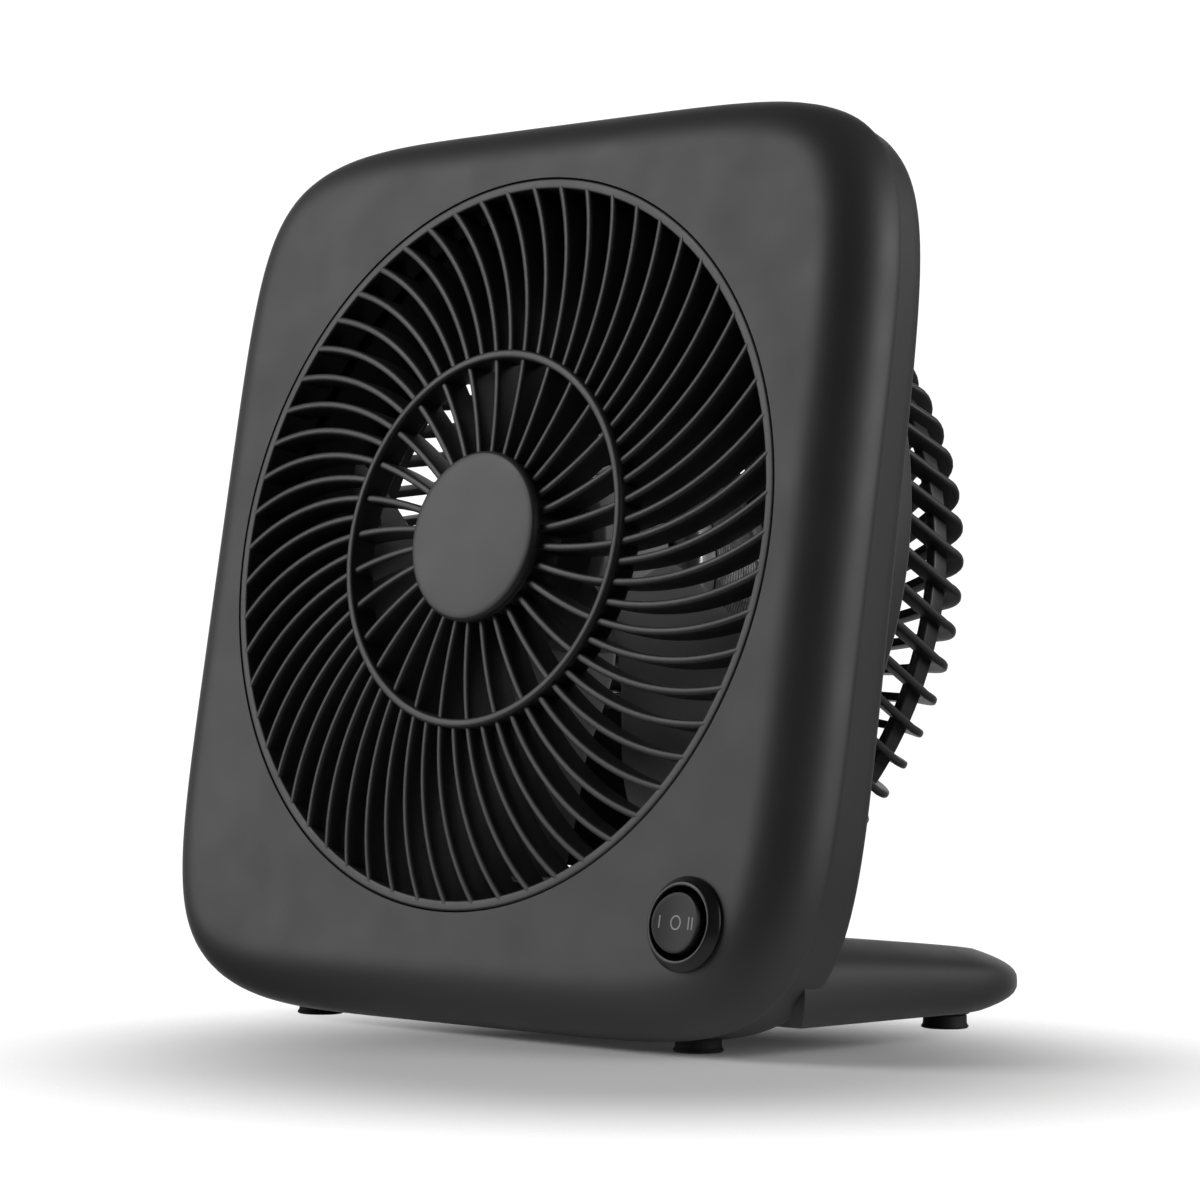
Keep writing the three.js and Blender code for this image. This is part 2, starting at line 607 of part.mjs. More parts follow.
// A cup that closes one end of the motor; facing is 1 for the rear cover and -1 for the front one.
function motorCover(facing) {
  const lip = facing > 0 ? statorBack + GAP : STATOR_FRONT - GAP;
  const floor = lip + facing * coverLength;
  const face = floor + facing * COVER_WALL;
  const seat = floor - facing * BEARING_LENGTH;
  const bore = BEARING_RADIUS + GAP;
  const cup = turned([
    [shaftHole, face], [STATOR_RADIUS - 1, face], [STATOR_RADIUS, face - facing], [STATOR_RADIUS, lip],
    [STATOR_RADIUS - COVER_WALL, lip], [STATOR_RADIUS - COVER_WALL, floor], [bore + COVER_WALL, floor],
    [bore + COVER_WALL, seat], [bore, seat], [bore, floor], [shaftHole, floor],
  ], 20);
  const [front, back] = [Math.min(lip, face) - 1, Math.max(lip, face) + 1];
  const cuts = motorScrews.map(([x, up]) => pin(pilotRadius, front, back, x, up, 6));
  if (facing > 0) cuts.push(block(4, 4, 8, 0, DUCT_FRONT + 15, -STATOR_RADIUS));
  return cup.subtract(joined(cuts));
}

function statorCore() {
  const stack = ring(ROTOR_RADIUS + 0.7, STATOR_RADIUS, STATOR_FRONT, statorBack, 20);
  const bores = motorScrews.map(([x, up]) => pin(pilotRadius, STATOR_FRONT - 1, statorBack + 1, x, up, 6));
  return stack.subtract(joined(bores));
}

function winding(front) {
  return turned([
    [17.5, front], [23, front], [24.2, front + WINDING_LENGTH / 2],
    [23, front + WINDING_LENGTH], [17.5, front + WINDING_LENGTH],
  ], 20);
}

function bearing(front) {
  return ring(SHAFT_RADIUS + GAP, BEARING_RADIUS, front, front + BEARING_LENGTH - 2 * GAP, 12);
}

const rotorCore = () => ring(SHAFT_RADIUS + GAP, ROTOR_RADIUS, STATOR_FRONT + 0.5, statorBack - 0.5, 20);

function motorShaft() {
  const [front, back] = [IMPELLER_FRONT + 0.5, motorBack - COVER_WALL];
  return turned([
    [0, front], [SHAFT_RADIUS - 0.5, front], [SHAFT_RADIUS, front + 0.5], [SHAFT_RADIUS, back], [0, back],
  ], 12);
}

// ---------------------------------------------------------------- impeller

const smooth = (value, from, to) => Math.sin((Math.PI / 2) * Math.min(1, Math.max(0, (value - from) / (to - from))));

// Angles of a blade's front and rear edge at a radius, in degrees.
const bladeFrontAngle = (r) => -33 - 23 * smooth(r, 36, 79) + 0.9 * Math.max(0, 36 - r);
const bladeRearAngle = (r) => (
  -5.5 - 9.5 * smooth(r, 36, 56) - 0.1 * Math.max(0, r - 56) + 0.9 * Math.max(0, 36 - r)
);

const BLADE_CHORD_STEPS = 3;

function blade(turn) {
  const span = IMPELLER_RADIUS - IMPELLER_HUB_RADIUS;
  const trims = [
    [IMPELLER_HUB_RADIUS - 1.5, 0], ...[12, 26, 40, 51].map((share) => [IMPELLER_HUB_RADIUS + (span * share) / 59, 0]),
    [IMPELLER_RADIUS - 2, 0.04], [IMPELLER_RADIUS, 0.16],
  ];
  const rings = trims.map(([radius, trim]) => {
    const half = 0.9 - 0.3 * (radius / IMPELLER_RADIUS);
    const [from, to] = [radians(bladeFrontAngle(radius) + turn), radians(bladeRearAngle(radius) + turn)];
    const [front, back] = [IMPELLER_FRONT + 2, IMPELLER_BACK - 1];
    const pitch = Math.atan2(back - front, radius * (to - from));
    const side = (sign) => {
      const points = [];
      for (let i = 0; i <= BLADE_CHORD_STEPS; i += 1) {
        const along = trim + (1 - 2 * trim) * (i / BLADE_CHORD_STEPS);
        const camber = 2.4 * Math.sin(Math.PI * along);
        const shift = camber + sign * half * Math.sin(Math.PI * (0.12 + 0.76 * along));
        const angle = from + (to - from) * along - (shift * Math.sin(pitch)) / radius;
        const depth = front + (back - front) * along + shift * Math.cos(pitch);
        points.push(new THREE.Vector3(radius * Math.cos(angle), depth, radius * Math.sin(angle)));
      }
      return points;
    };
    return [...side(1), ...side(-1).reverse()];
  });
  return loft(rings);
}

function impeller() {
  const hub = IMPELLER_HUB_RADIUS;
  const front = IMPELLER_FRONT;
  const bore = SHAFT_RADIUS + GAP;
  const cup = turned([
    [bore, front + 3], [7, front + 3], [7.5, front + 1.5], [hub - 3, front], [hub - 0.7, front + 1],
    [hub, front + 3], [hub, IMPELLER_BACK], [hub - 2, IMPELLER_BACK], [hub - 2, front + 3.5], [7, front + 5],
    [7, IMPELLER_BACK - 1], [bore, IMPELLER_BACK - 1],
  ], 24);
  const blades = [];
  for (let i = 0; i < BLADES; i += 1) blades.push(blade((360 / BLADES) * i));
  const inside = turned([[0, front + 4], [hub - 1, front + 4], [hub - 1, 60], [0, 60]], 24);
  return joined(blades).subtract(inside).add(cup);
}

const impellerClip = () => (
  ring(SHAFT_RADIUS + GAP, SHAFT_RADIUS + 3, IMPELLER_FRONT + 1.4, IMPELLER_FRONT + 3 - GAP, 12)
);

// ---------------------------------------------------------------- switch and cord inlet

function switchHousing() {
  const seat = -GAP;
  return turned([
    [0, SWITCH_DEPTH], [SWITCH_BARREL, SWITCH_DEPTH], [SWITCH_BARREL, seat], [BEZEL_RADIUS, seat],
    [BEZEL_RADIUS - 0.1, seat - 0.6], [ROCKER_WELL + 1, -BEZEL_PROUD], [ROCKER_WELL + 0.2, -BEZEL_PROUD],
    [ROCKER_WELL, -BEZEL_PROUD + 0.4], [ROCKER_WELL, SWITCH_DEPTH - 4], [0, SWITCH_DEPTH - 4],
  ], 24);
}

function switchRocker() {
  const face = -1.6;
  return turned([
    [0, face], [ROCKER_RADIUS - 0.4, face], [ROCKER_RADIUS, face + 0.4], [ROCKER_RADIUS, 4], [5, 7], [0, 7],
  ], 20);
}

const switchTerminal = (x) => block(0.8, 7, 4.8, x, SWITCH_DEPTH + GAP + 3.5, 0);

function cordGland() {
  const wall = BACK_DEPTH - BACK_LEAN * glandPlace[1];
  const face = wall + GAP + 0.1;
  return turned([
    [2.8, wall - 5.5], [GLAND_RADIUS, wall - 5.5], [GLAND_RADIUS, face], [7.5, face], [7.5, face + 1.2],
    [5.6, face + 2], [4.2, face + 7], [2.8, face + 7],
  ], 16).translate([glandPlace[0], 0, glandPlace[1]]);
}

function lead(points, steps) {
  const path = new THREE.CatmullRomCurve3(points.map(([x, depth, up]) => new THREE.Vector3(x, depth, up)));
  const section = new THREE.Shape();
  for (let i = 0; i < 6; i += 1) {
    const angle = (Math.PI / 3) * i;
    const [x, y] = [LEAD_RADIUS * Math.cos(angle), LEAD_RADIUS * Math.sin(angle)];
    if (i === 0) section.moveTo(x, y);
    else section.lineTo(x, y);
  }
  section.closePath();
  return solid(new THREE.ExtrudeGeometry(section, { extrudePath: path, steps, bevelEnabled: false }));
}

const terminalDepth = SWITCH_DEPTH + 9.2;
const motorLead = () => lead([
  [0, DUCT_FRONT + 15, -STATOR_RADIUS + 2.2], [0, DUCT_FRONT + 15, -STATOR_RADIUS - 14],
  [0, DUCT_FRONT + 13, -BASKET_RADIUS + 26], [0, LEAD_EXIT_DEPTH, -BASKET_RADIUS + 11],
  [0, LEAD_EXIT_DEPTH, -BASKET_RADIUS + 1], [0, LEAD_EXIT_DEPTH - 2, -BASKET_RADIUS - 8],
  [0, 58, -104.5],
  [0, 45, -106.5], [2, 30, -108], [12, 22, -107], [30, 20.5, -103.5], [50, 20.5, -102.5], [68, 22, -100],
  [SWITCH_X - 5, terminalDepth, SWITCH_UP],
], 34);
const supplyLead = () => lead([
  [glandPlace[0], 26.5, glandPlace[1]], [glandPlace[0], 23, glandPlace[1] - 0.4], [-80, 18.5, -90],
  [-60, 17, -99], [-20, 16.8, -99.5], [20, 16.5, -98.5], [56, 18, -95], [70, 24, -89.5], [78, 25, -90.5],
  [SWITCH_X, terminalDepth, SWITCH_UP + 1],
], 20);

// ---------------------------------------------------------------- base cover and rubber feet

const coverScrewSeat = UNDERSIDE + 1.6;

function baseCover() {
  const plate = coverPlate(0, UNDERSIDE, UNDERSIDE + COVER_THICKNESS);
  const holes = baseScrews.map(([x, y]) => joined([
    upright(pilotRadius, 0, 30, x, y, 6), upright(SCREW_HEAD + 0.5, 0, coverScrewSeat + GAP, x, y),
  ]));
  return plate.subtract(joined(holes));
}

function baseScrew([x, y]) {
  const seat = coverScrewSeat;
  return turnedUpright([
    [0, seat - 1.4], [SCREW_HEAD * 0.8, seat - 1.4], [SCREW_HEAD, seat],
    [SCREW_SHANK, seat], [SCREW_SHANK, seat + 8.4], [0, seat + 9.4],
  ], 8).translate([x, y, 0]);
}

function rubberFoot([x, y]) {
  return turnedUpright([
    [0, 0], [RUBBER_LIP, 0], [RUBBER_LIP, 0.5], [RUBBER_RADIUS, 1.1], [RUBBER_RADIUS, RUBBER_HEIGHT],
    [FOOT_STEM, RUBBER_HEIGHT], [FOOT_STEM, stemTop], [0, stemTop],
  ], 16).translate([x, y, 0]);
}

// ---------------------------------------------------------------- the assembly

const fan = new THREE.Group();
const base = new THREE.Group();
const head = new THREE.Group();
const switchBay = new THREE.Group();
head.position.set(0, 0, FACE_HEIGHT);
head.rotation.x = -TILT;
switchBay.position.set(SWITCH_X, 0, SWITCH_UP);
head.add(switchBay);
fan.add(base, head);

function place(parent, name, body, material) {
  const mesh = new THREE.Mesh(geometryOf(body), material);
  mesh.name = name;
  parent.add(mesh);
}

place(head, 'front_housing', frontHousing(), charcoalPlastic);
place(head, 'front_grille', frontGrille(), charcoalPlastic);
place(head, 'grille_badge', grilleBadge(), charcoalPlastic);
place(head, 'rear_housing', rearHousing(), charcoalPlastic);
place(head, 'rear_grille', rearGrille(), charcoalPlastic);
place(head, 'wire_duct', wireDuct(), blackPlastic);
place(head, 'cord_gland', cordGland(), blackPlastic);

place(head, 'impeller', impeller(), darkPlastic);
place(head, 'impeller_clip', impellerClip(), zincSteel);
place(head, 'motor_shaft', motorShaft(), zincSteel);
place(head, 'rotor_core', rotorCore(), siliconSteel);
place(head, 'stator_core', statorCore(), siliconSteel);
place(head, 'front_winding', winding(STATOR_FRONT - GAP - WINDING_LENGTH), copper);
place(head, 'rear_winding', winding(statorBack + GAP), copper);
place(head, 'motor_front_cover', motorCover(-1), zincSteel);
place(head, 'motor_rear_cover', motorCover(1), zincSteel);
place(head, 'front_bearing', bearing(motorFront + COVER_WALL + GAP), sinteredBronze);
place(head, 'rear_bearing', bearing(motorBack - COVER_WALL - BEARING_LENGTH + GAP), sinteredBronze);

place(switchBay, 'switch_housing', switchHousing(), blackPlastic);
place(switchBay, 'switch_rocker', switchRocker(), blackPlastic);
[-5, 0, 5].forEach((x, i) => place(switchBay, `switch_terminal_${i + 1}`, switchTerminal(x), zincSteel));
place(head, 'motor_lead', motorLead(), leadSleeve);
place(head, 'supply_lead', supplyLead(), leadSleeve);

grilleScrews.forEach((at, i) => {
  place(head, `grille_screw_${i + 1}`, screw(at, SHELL_WALL + 2, RIM_DEPTH + GAP), zincSteel);
});
housingScrews.forEach((at, i) => {
  place(head, `housing_screw_${i + 1}`, screw(at, SHELL_WALL + 4, screwSeat + GAP), zincSteel);
});
rearGrilleScrews.forEach((at, i) => {
  place(head, `rear_grille_screw_${i + 1}`, screw(at, BACK_DEPTH + 3, DRUM_DEPTH + 2 * GAP + 2.6), zincSteel);
});
motorScrews.forEach((at, i) => {
  place(head, `motor_screw_${i + 1}`, screw(at, motorFront + 0.5, plateFront + 3 + GAP), zincSteel);
});

place(base, 'base_cover', baseCover(), charcoalPlastic);
baseScrews.forEach((at, i) => place(base, `base_screw_${i + 1}`, baseScrew(at), zincSteel));
['foot_front_left', 'foot_front_right', 'foot_rear_left', 'foot_rear_right'].forEach((name, i) => {
  place(base, name, rubberFoot(feetPlaces[i]), rubber);
});

// the origin moves to the middle of the fan's box, on the ground
fan.updateMatrixWorld(true);
const box = new THREE.Box3().setFromObject(fan, true);
const middle = box.getCenter(new THREE.Vector3());
fan.position.set(-middle.x, -middle.y, -box.min.z);
fan.updateMatrixWorld(true);

export default fan;
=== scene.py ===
# %% [markdown]
# # A small table box fan
# The fan is a rounded square shell, tilted back on a low foot. Behind a grille of swirling ribs an impeller
# turns in front of a motor, which hangs in a round basket at the back.
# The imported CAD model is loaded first. It fixes the size and the place of every piece, and the pieces made
# here give it its finish. Everything is drawn in millimetres and brought to metres at the end.

# %% Load the frame
import json
import math

import bmesh
import bpy
from mathutils import Matrix, Vector


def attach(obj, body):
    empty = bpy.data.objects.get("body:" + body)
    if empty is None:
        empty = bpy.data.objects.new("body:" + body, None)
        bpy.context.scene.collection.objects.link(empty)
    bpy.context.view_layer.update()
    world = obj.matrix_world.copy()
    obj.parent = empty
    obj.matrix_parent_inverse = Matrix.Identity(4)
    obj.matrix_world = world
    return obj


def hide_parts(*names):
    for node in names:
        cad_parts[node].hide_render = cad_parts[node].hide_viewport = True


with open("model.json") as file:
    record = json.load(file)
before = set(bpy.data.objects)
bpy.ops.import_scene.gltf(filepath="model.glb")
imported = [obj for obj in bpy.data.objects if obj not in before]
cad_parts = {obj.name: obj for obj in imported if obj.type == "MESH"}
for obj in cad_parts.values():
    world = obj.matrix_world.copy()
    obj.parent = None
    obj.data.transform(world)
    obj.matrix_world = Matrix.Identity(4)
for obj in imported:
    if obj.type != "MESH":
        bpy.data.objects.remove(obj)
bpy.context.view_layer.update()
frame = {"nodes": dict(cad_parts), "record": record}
joints = {joint["name"]: joint for joint in frame["record"]["behaviour"]["joints"]}

# %% [markdown]
# The fan has two frames. The head frame leans back with the face: X to the right, Y the depth behind the
# front face, Z up the face, and its origin is the middle of the air opening. The impeller's joint lies on its
# Y axis, so the frame comes from the joint. The base frame is level, and starts just in front of the foot.

# %% The two frames
MM = 0.001
spin_place = Vector(joints["impeller_spin"]["pos_m"])
back_way = -Vector(joints["impeller_spin"]["axis"]).normalized()
tilt = math.atan2(-back_way.z, back_way.y)
HEAD = Matrix.Translation(spin_place) @ Matrix.Rotation(-tilt, 4, "X") @ Matrix.Scale(MM, 4)
BASE = Matrix.Translation((0, spin_place.y, 0)) @ Matrix.Scale(MM, 4)
SWITCH_X, SWITCH_UP = 84.2, -95.3
SWITCH = HEAD @ Matrix.Translation((SWITCH_X, 0, SWITCH_UP))
FAN_BODY, ROTOR, ROCKER = "fan_body", "rotor", "rocker"
print("tilt", round(math.degrees(tilt), 2), "degrees")

# %% [markdown]
# ## The camera
# A long lens stands low, in front and to the right of the fan, and looks almost level at it.

# %% Camera
CAMERA_PLACE = Vector((0.69688, -0.73438, 0.09280))
CAMERA_AZIMUTH, CAMERA_ELEVATION, CAMERA_ROLL = map(math.radians, (43.79, -1.11, 0.52))
camera_back = Vector((
    math.sin(CAMERA_AZIMUTH) * math.cos(CAMERA_ELEVATION),
    -math.cos(CAMERA_AZIMUTH) * math.cos(CAMERA_ELEVATION),
    math.sin(CAMERA_ELEVATION),
))
level_right = Vector((math.cos(CAMERA_AZIMUTH), math.sin(CAMERA_AZIMUTH), 0))
level_up = camera_back.cross(level_right)
camera_right = math.cos(CAMERA_ROLL) * level_right + math.sin(CAMERA_ROLL) * level_up
camera_up = camera_back.cross(camera_right)
lens = bpy.data.cameras.new("camera")
lens.lens = 113.6
lens.sensor_width = 36
lens.clip_end = 20
camera = bpy.data.objects.new("camera", lens)
turn = Matrix((camera_right, camera_up, camera_back)).transposed().to_4x4()
camera.matrix_world = Matrix.Translation(CAMERA_PLACE) @ turn
bpy.context.scene.collection.objects.link(camera)
bpy.context.scene.camera = camera
print("camera", [round(value, 3) for value in CAMERA_PLACE])

# %% [markdown]
# ## Tools for shapes
# Most of the pieces are turned on a lathe or drawn through a row of rings, so two helpers make nearly all of
# them. Both give plain lists of points and faces. Sharp corners catch no light, so an outline can be softened
# before it is turned: each corner is swapped for a short curve.

# %% Shapes from outlines
def loft(rings, caps=True):
    """Faces through rings of points, all with the same number of points."""
    size = len(rings[0])
    points = [tuple(point) for ring in rings for point in ring]
    faces = []
    for row in range(len(rings) - 1):
        for i in range(size):
            j = (i + 1) % size
            near, far = row * size, (row + 1) * size
            faces.append((near + i, near + j, far + j, far + i))
    if caps:
        last = (len(rings) - 1) * size
        faces.append(tuple(range(size)))
        faces.append(tuple(range(last, last + size)))
    return points, faces


def corner_curve(start, corner, end, steps):
    """Points of a short curve that starts and ends on the two sides of a corner."""
    shares = [step / steps for step in range(steps + 1)]
    return [tuple((1 - t) ** 2 * start + 2 * t * (1 - t) * corner + t ** 2 * end) for t in shares]


def softened(outline, radius, steps=3, closed=True):
    """The outline with its corners rounded. Corners on the axis stay sharp."""
    result = []
    count = len(outline)
    for i, corner in enumerate(outline):
        before, after = Vector(outline[i - 1]), Vector(outline[(i + 1) % count])
        here = Vector(corner)
        on_axis = here.x <= 0
        if on_axis or (not closed and i in (0, count - 1)):
            result.append(tuple(here))
            continue
        reach = min(radius, 0.45 * (before - here).length, 0.45 * (after - here).length)
        start = here + (before - here).normalized() * reach
        end = here + (after - here).normalized() * reach
        result += corner_curve(start, here, end, steps)
    return result


def turned(outline, segments=64, x=0.0, up=0.0):
    """A body turned about the depth axis, from a closed outline of (radius, depth)."""
    angles = [2 * math.pi * i / segments for i in range(segments)]
    rings = [
        [(x + radius * math.cos(angle), depth, up + radius * math.sin(angle)) for angle in angles]
        for radius, depth in [*outline, outline[0]]
    ]
    return loft(rings, caps=False)


def upright(outline, segments=64, x=0.0, y=0.0):
    """A body turned about the vertical, from a closed outline of (radius, height)."""
    points, faces = turned(outline, segments)
    return [(px + x, pz + y, depth) for px, depth, pz in points], faces


def block(low, high):
    """A plain box, used as a cutter or to be bevelled."""
    points = [(x, y, z) for x in (low[0], high[0]) for y in (low[1], high[1]) for z in (low[2], high[2])]
    faces = [(0, 1, 3, 2), (4, 6, 7, 5), (0, 4, 5, 1), (2, 3, 7, 6), (0, 2, 6, 4), (1, 5, 7, 3)]
    return points, faces


def ring_outline(inner, outer, front, back):
    return [(inner, front), (outer, front), (outer, back), (inner, back)]


print("shape tools ready")

# %% [markdown]
# A draft is an object still in millimetres. `draft` makes one from any number of shapes, `cut` takes cutters
# out of it, and `settle` closes it: doubles are merged, faces turned outwards, the place put into the mesh,
# and every edge sharper than the given angle kept sharp. Then it rides on its body and stands for its nodes.

# %% Drafts and pieces
def draft(name, *shapes):
    mesh = bpy.data.meshes.new(name)
    points, faces = [], []
    for shape_points, shape_faces in shapes:
        start = len(points)
        points.extend(shape_points)
        faces.extend(tuple(start + i for i in face) for face in shape_faces)
    mesh.from_pydata(points, [], faces)
    tidy_mesh(mesh)
    obj = bpy.data.objects.new(name, mesh)
    bpy.context.scene.collection.objects.link(obj)
    return obj


def tidy_mesh(mesh, merge=1e-4):
    work = bmesh.new()
    work.from_mesh(mesh)
    bmesh.ops.remove_doubles(work, verts=work.verts, dist=merge)
    bmesh.ops.dissolve_degenerate(work, edges=work.edges, dist=merge / 10)
    bmesh.ops.recalc_face_normals(work, faces=work.faces)
    work.to_mesh(mesh)
    work.free()


def shape_of(obj):
    """The draft's points and faces, to cut with."""
    mesh = obj.data
    return [tuple(vertex.co) for vertex in mesh.vertices], [tuple(face.vertices) for face in mesh.polygons]


def evaluated_mesh(obj):
    graph = bpy.context.evaluated_depsgraph_get()
    mesh = bpy.data.meshes.new_from_object(obj.evaluated_get(graph))
    obj.modifiers.clear()
    return mesh


def cut(obj, *cutters):
    """Takes each cutter out of the draft."""
    for cutter in cutters:
        tool = draft("cutter", cutter)
        boolean = obj.modifiers.new("cut", "BOOLEAN")
        boolean.operation = "DIFFERENCE"
        boolean.solver = "EXACT"
        boolean.object = tool
        obj.data = evaluated_mesh(obj)
        bpy.data.objects.remove(tool)


def bevelled(obj, width, segments=3, angle=40):
    """Rounds the draft's edges."""
    bevel = obj.modifiers.new("bevel", "BEVEL")
    bevel.width = width
    bevel.segments = segments
    bevel.limit_method = "ANGLE"
    bevel.angle_limit = math.radians(angle)
    obj.data = evaluated_mesh(obj)


def settle(obj, place, material, slot, body, *nodes, corner=38):
    mesh = obj.data
    tidy_mesh(mesh)
    mesh.transform(place)
    mesh.materials.clear()
    mesh.materials.append(material)
    for face in mesh.polygons:
        face.material_index = 0
    mesh.shade_smooth()
    mesh.set_sharp_from_angle(angle=math.radians(corner))
    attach(obj, body)
    if nodes:
        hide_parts(*nodes)
    print(obj.name, len(mesh.polygons), "faces")
    return obj


# %% [markdown]
# ## Repeats
# Ribs, fins and blades all stand in rings about the fan's axis, and the screws are one screw many times over.
# Geometry Nodes do both: one tree turns copies of its own mesh about the axis, the other sets an object on
# each point of the mesh. Both end by realizing the copies, so that the result is a plain mesh.

# %% Geometry Nodes trees
def new_tree(name, inputs):
    tree = bpy.data.node_groups.new(name, "GeometryNodeTree")
    tree.interface.new_socket("Geometry", in_out="INPUT", socket_type="NodeSocketGeometry")
    for label, kind in inputs:
        tree.interface.new_socket(label, in_out="INPUT", socket_type=kind)
    tree.interface.new_socket("Geometry", in_out="OUTPUT", socket_type="NodeSocketGeometry")
    return tree, tree.nodes.new("NodeGroupInput"), tree.nodes.new("NodeGroupOutput")


def close_tree(tree, given, taken, instances):
    """Realizes the instances and gives them the material."""
    realize = tree.nodes.new("GeometryNodeRealizeInstances")
    paint = tree.nodes.new("GeometryNodeSetMaterial")
    tree.links.new(instances, realize.inputs["Geometry"])
    tree.links.new(realize.outputs["Geometry"], paint.inputs["Geometry"])
    tree.links.new(given.outputs["Material"], paint.inputs["Material"])
    tree.links.new(paint.outputs["Geometry"], taken.inputs["Geometry"])


def turned_copies_tree():
    tree, given, taken = new_tree("turned copies", [
        ("Copies", "NodeSocketInt"), ("Turn", "NodeSocketFloat"), ("Start", "NodeSocketFloat"),
        ("Material", "NodeSocketMaterial"),
    ])
    points = tree.nodes.new("GeometryNodePoints")
    stand = tree.nodes.new("GeometryNodeInstanceOnPoints")
    index = tree.nodes.new("GeometryNodeInputIndex")
    angle = tree.nodes.new("ShaderNodeMath")
    angle.operation = "MULTIPLY_ADD"
    about = tree.nodes.new("FunctionNodeAxisAngleToRotation")
    about.inputs["Axis"].default_value = (0, -1, 0)
    rotate = tree.nodes.new("GeometryNodeRotateInstances")
    rotate.inputs["Local Space"].default_value = False
    link = tree.links.new
    link(given.outputs["Copies"], points.inputs["Count"])
    link(points.outputs[0], stand.inputs["Points"])
    link(given.outputs["Geometry"], stand.inputs["Instance"])
    link(index.outputs[0], angle.inputs[0])
    link(given.outputs["Turn"], angle.inputs[1])
    link(given.outputs["Start"], angle.inputs[2])
    link(angle.outputs[0], about.inputs["Angle"])
    link(stand.outputs["Instances"], rotate.inputs["Instances"])
    link(about.outputs["Rotation"], rotate.inputs["Rotation"])
    close_tree(tree, given, taken, rotate.outputs["Instances"])
    return tree


def seated_copies_tree():
    tree, given, taken = new_tree("seated copies", [
        ("Piece", "NodeSocketObject"), ("Scale", "NodeSocketFloat"), ("Material", "NodeSocketMaterial"),
    ])
    points = tree.nodes.new("GeometryNodeMeshToPoints")
    source = tree.nodes.new("GeometryNodeObjectInfo")
    stand = tree.nodes.new("GeometryNodeInstanceOnPoints")
    link = tree.links.new
    link(given.outputs["Geometry"], points.inputs["Mesh"])
    link(given.outputs["Piece"], source.inputs["Object"])
    link(points.outputs["Points"], stand.inputs["Points"])
    link(source.outputs["Geometry"], stand.inputs["Instance"])
    link(given.outputs["Scale"], stand.inputs["Scale"])
    close_tree(tree, given, taken, stand.outputs["Instances"])
    return tree


def run_tree(obj, tree, **values):
    """Runs a tree on the draft with these inputs, and keeps the result as its mesh."""
    modifier = obj.modifiers.new(tree.name, "NODES")
    modifier.node_group = tree
    for item in tree.interface.items_tree:
        if item.in_out == "INPUT" and item.name in values:
            modifier[item.identifier] = values[item.name]
    obj.data = evaluated_mesh(obj)


def merged(obj, *others):
    """Puts the other drafts into the first one's mesh."""
    work = bmesh.new()
    work.from_mesh(obj.data)
    for other in others:
        work.from_mesh(other.data)
        bpy.data.objects.remove(other)
    work.to_mesh(obj.data)
    work.free()
    return obj


AROUND = turned_copies_tree()
SEATED = seated_copies_tree()
print("trees", AROUND.name, "and", SEATED.name)

# %% [markdown]
# ## Shader maths
# A finish is easier to read as a formula than as a web of nodes. `Value` wraps a socket, so that
# `base * (1 - mask)` adds its own Math nodes. `Finish` starts a material and adds any other node.

# %% Value and Finish
class Value:
    def __init__(self, finish, socket):
        self.finish, self.socket = finish, socket

    def maths(self, operation, first, second):
        node = self.finish.add("ShaderNodeMath", {"operation": operation}, {0: first, 1: second})
        return Value(self.finish, node.outputs[0])

    def __add__(self, other):
        return self.maths("ADD", self, other)

    def __sub__(self, other):
        return self.maths("SUBTRACT", self, other)

    def __rsub__(self, other):
        return self.maths("SUBTRACT", other, self)

    def __mul__(self, other):
        return self.maths("MULTIPLY", self, other)

    __radd__, __rmul__ = __add__, __mul__

    def sine(self):
        return self.maths("SINE", self, 0.0)

    def above(self, low, high):
        """0 below low, 1 above high, smooth between."""
        node = self.finish.add("ShaderNodeMapRange", {"interpolation_type": "SMOOTHSTEP"},
                               {"Value": self, "From Min": low, "From Max": high})
        return Value(self.finish, node.outputs[0])


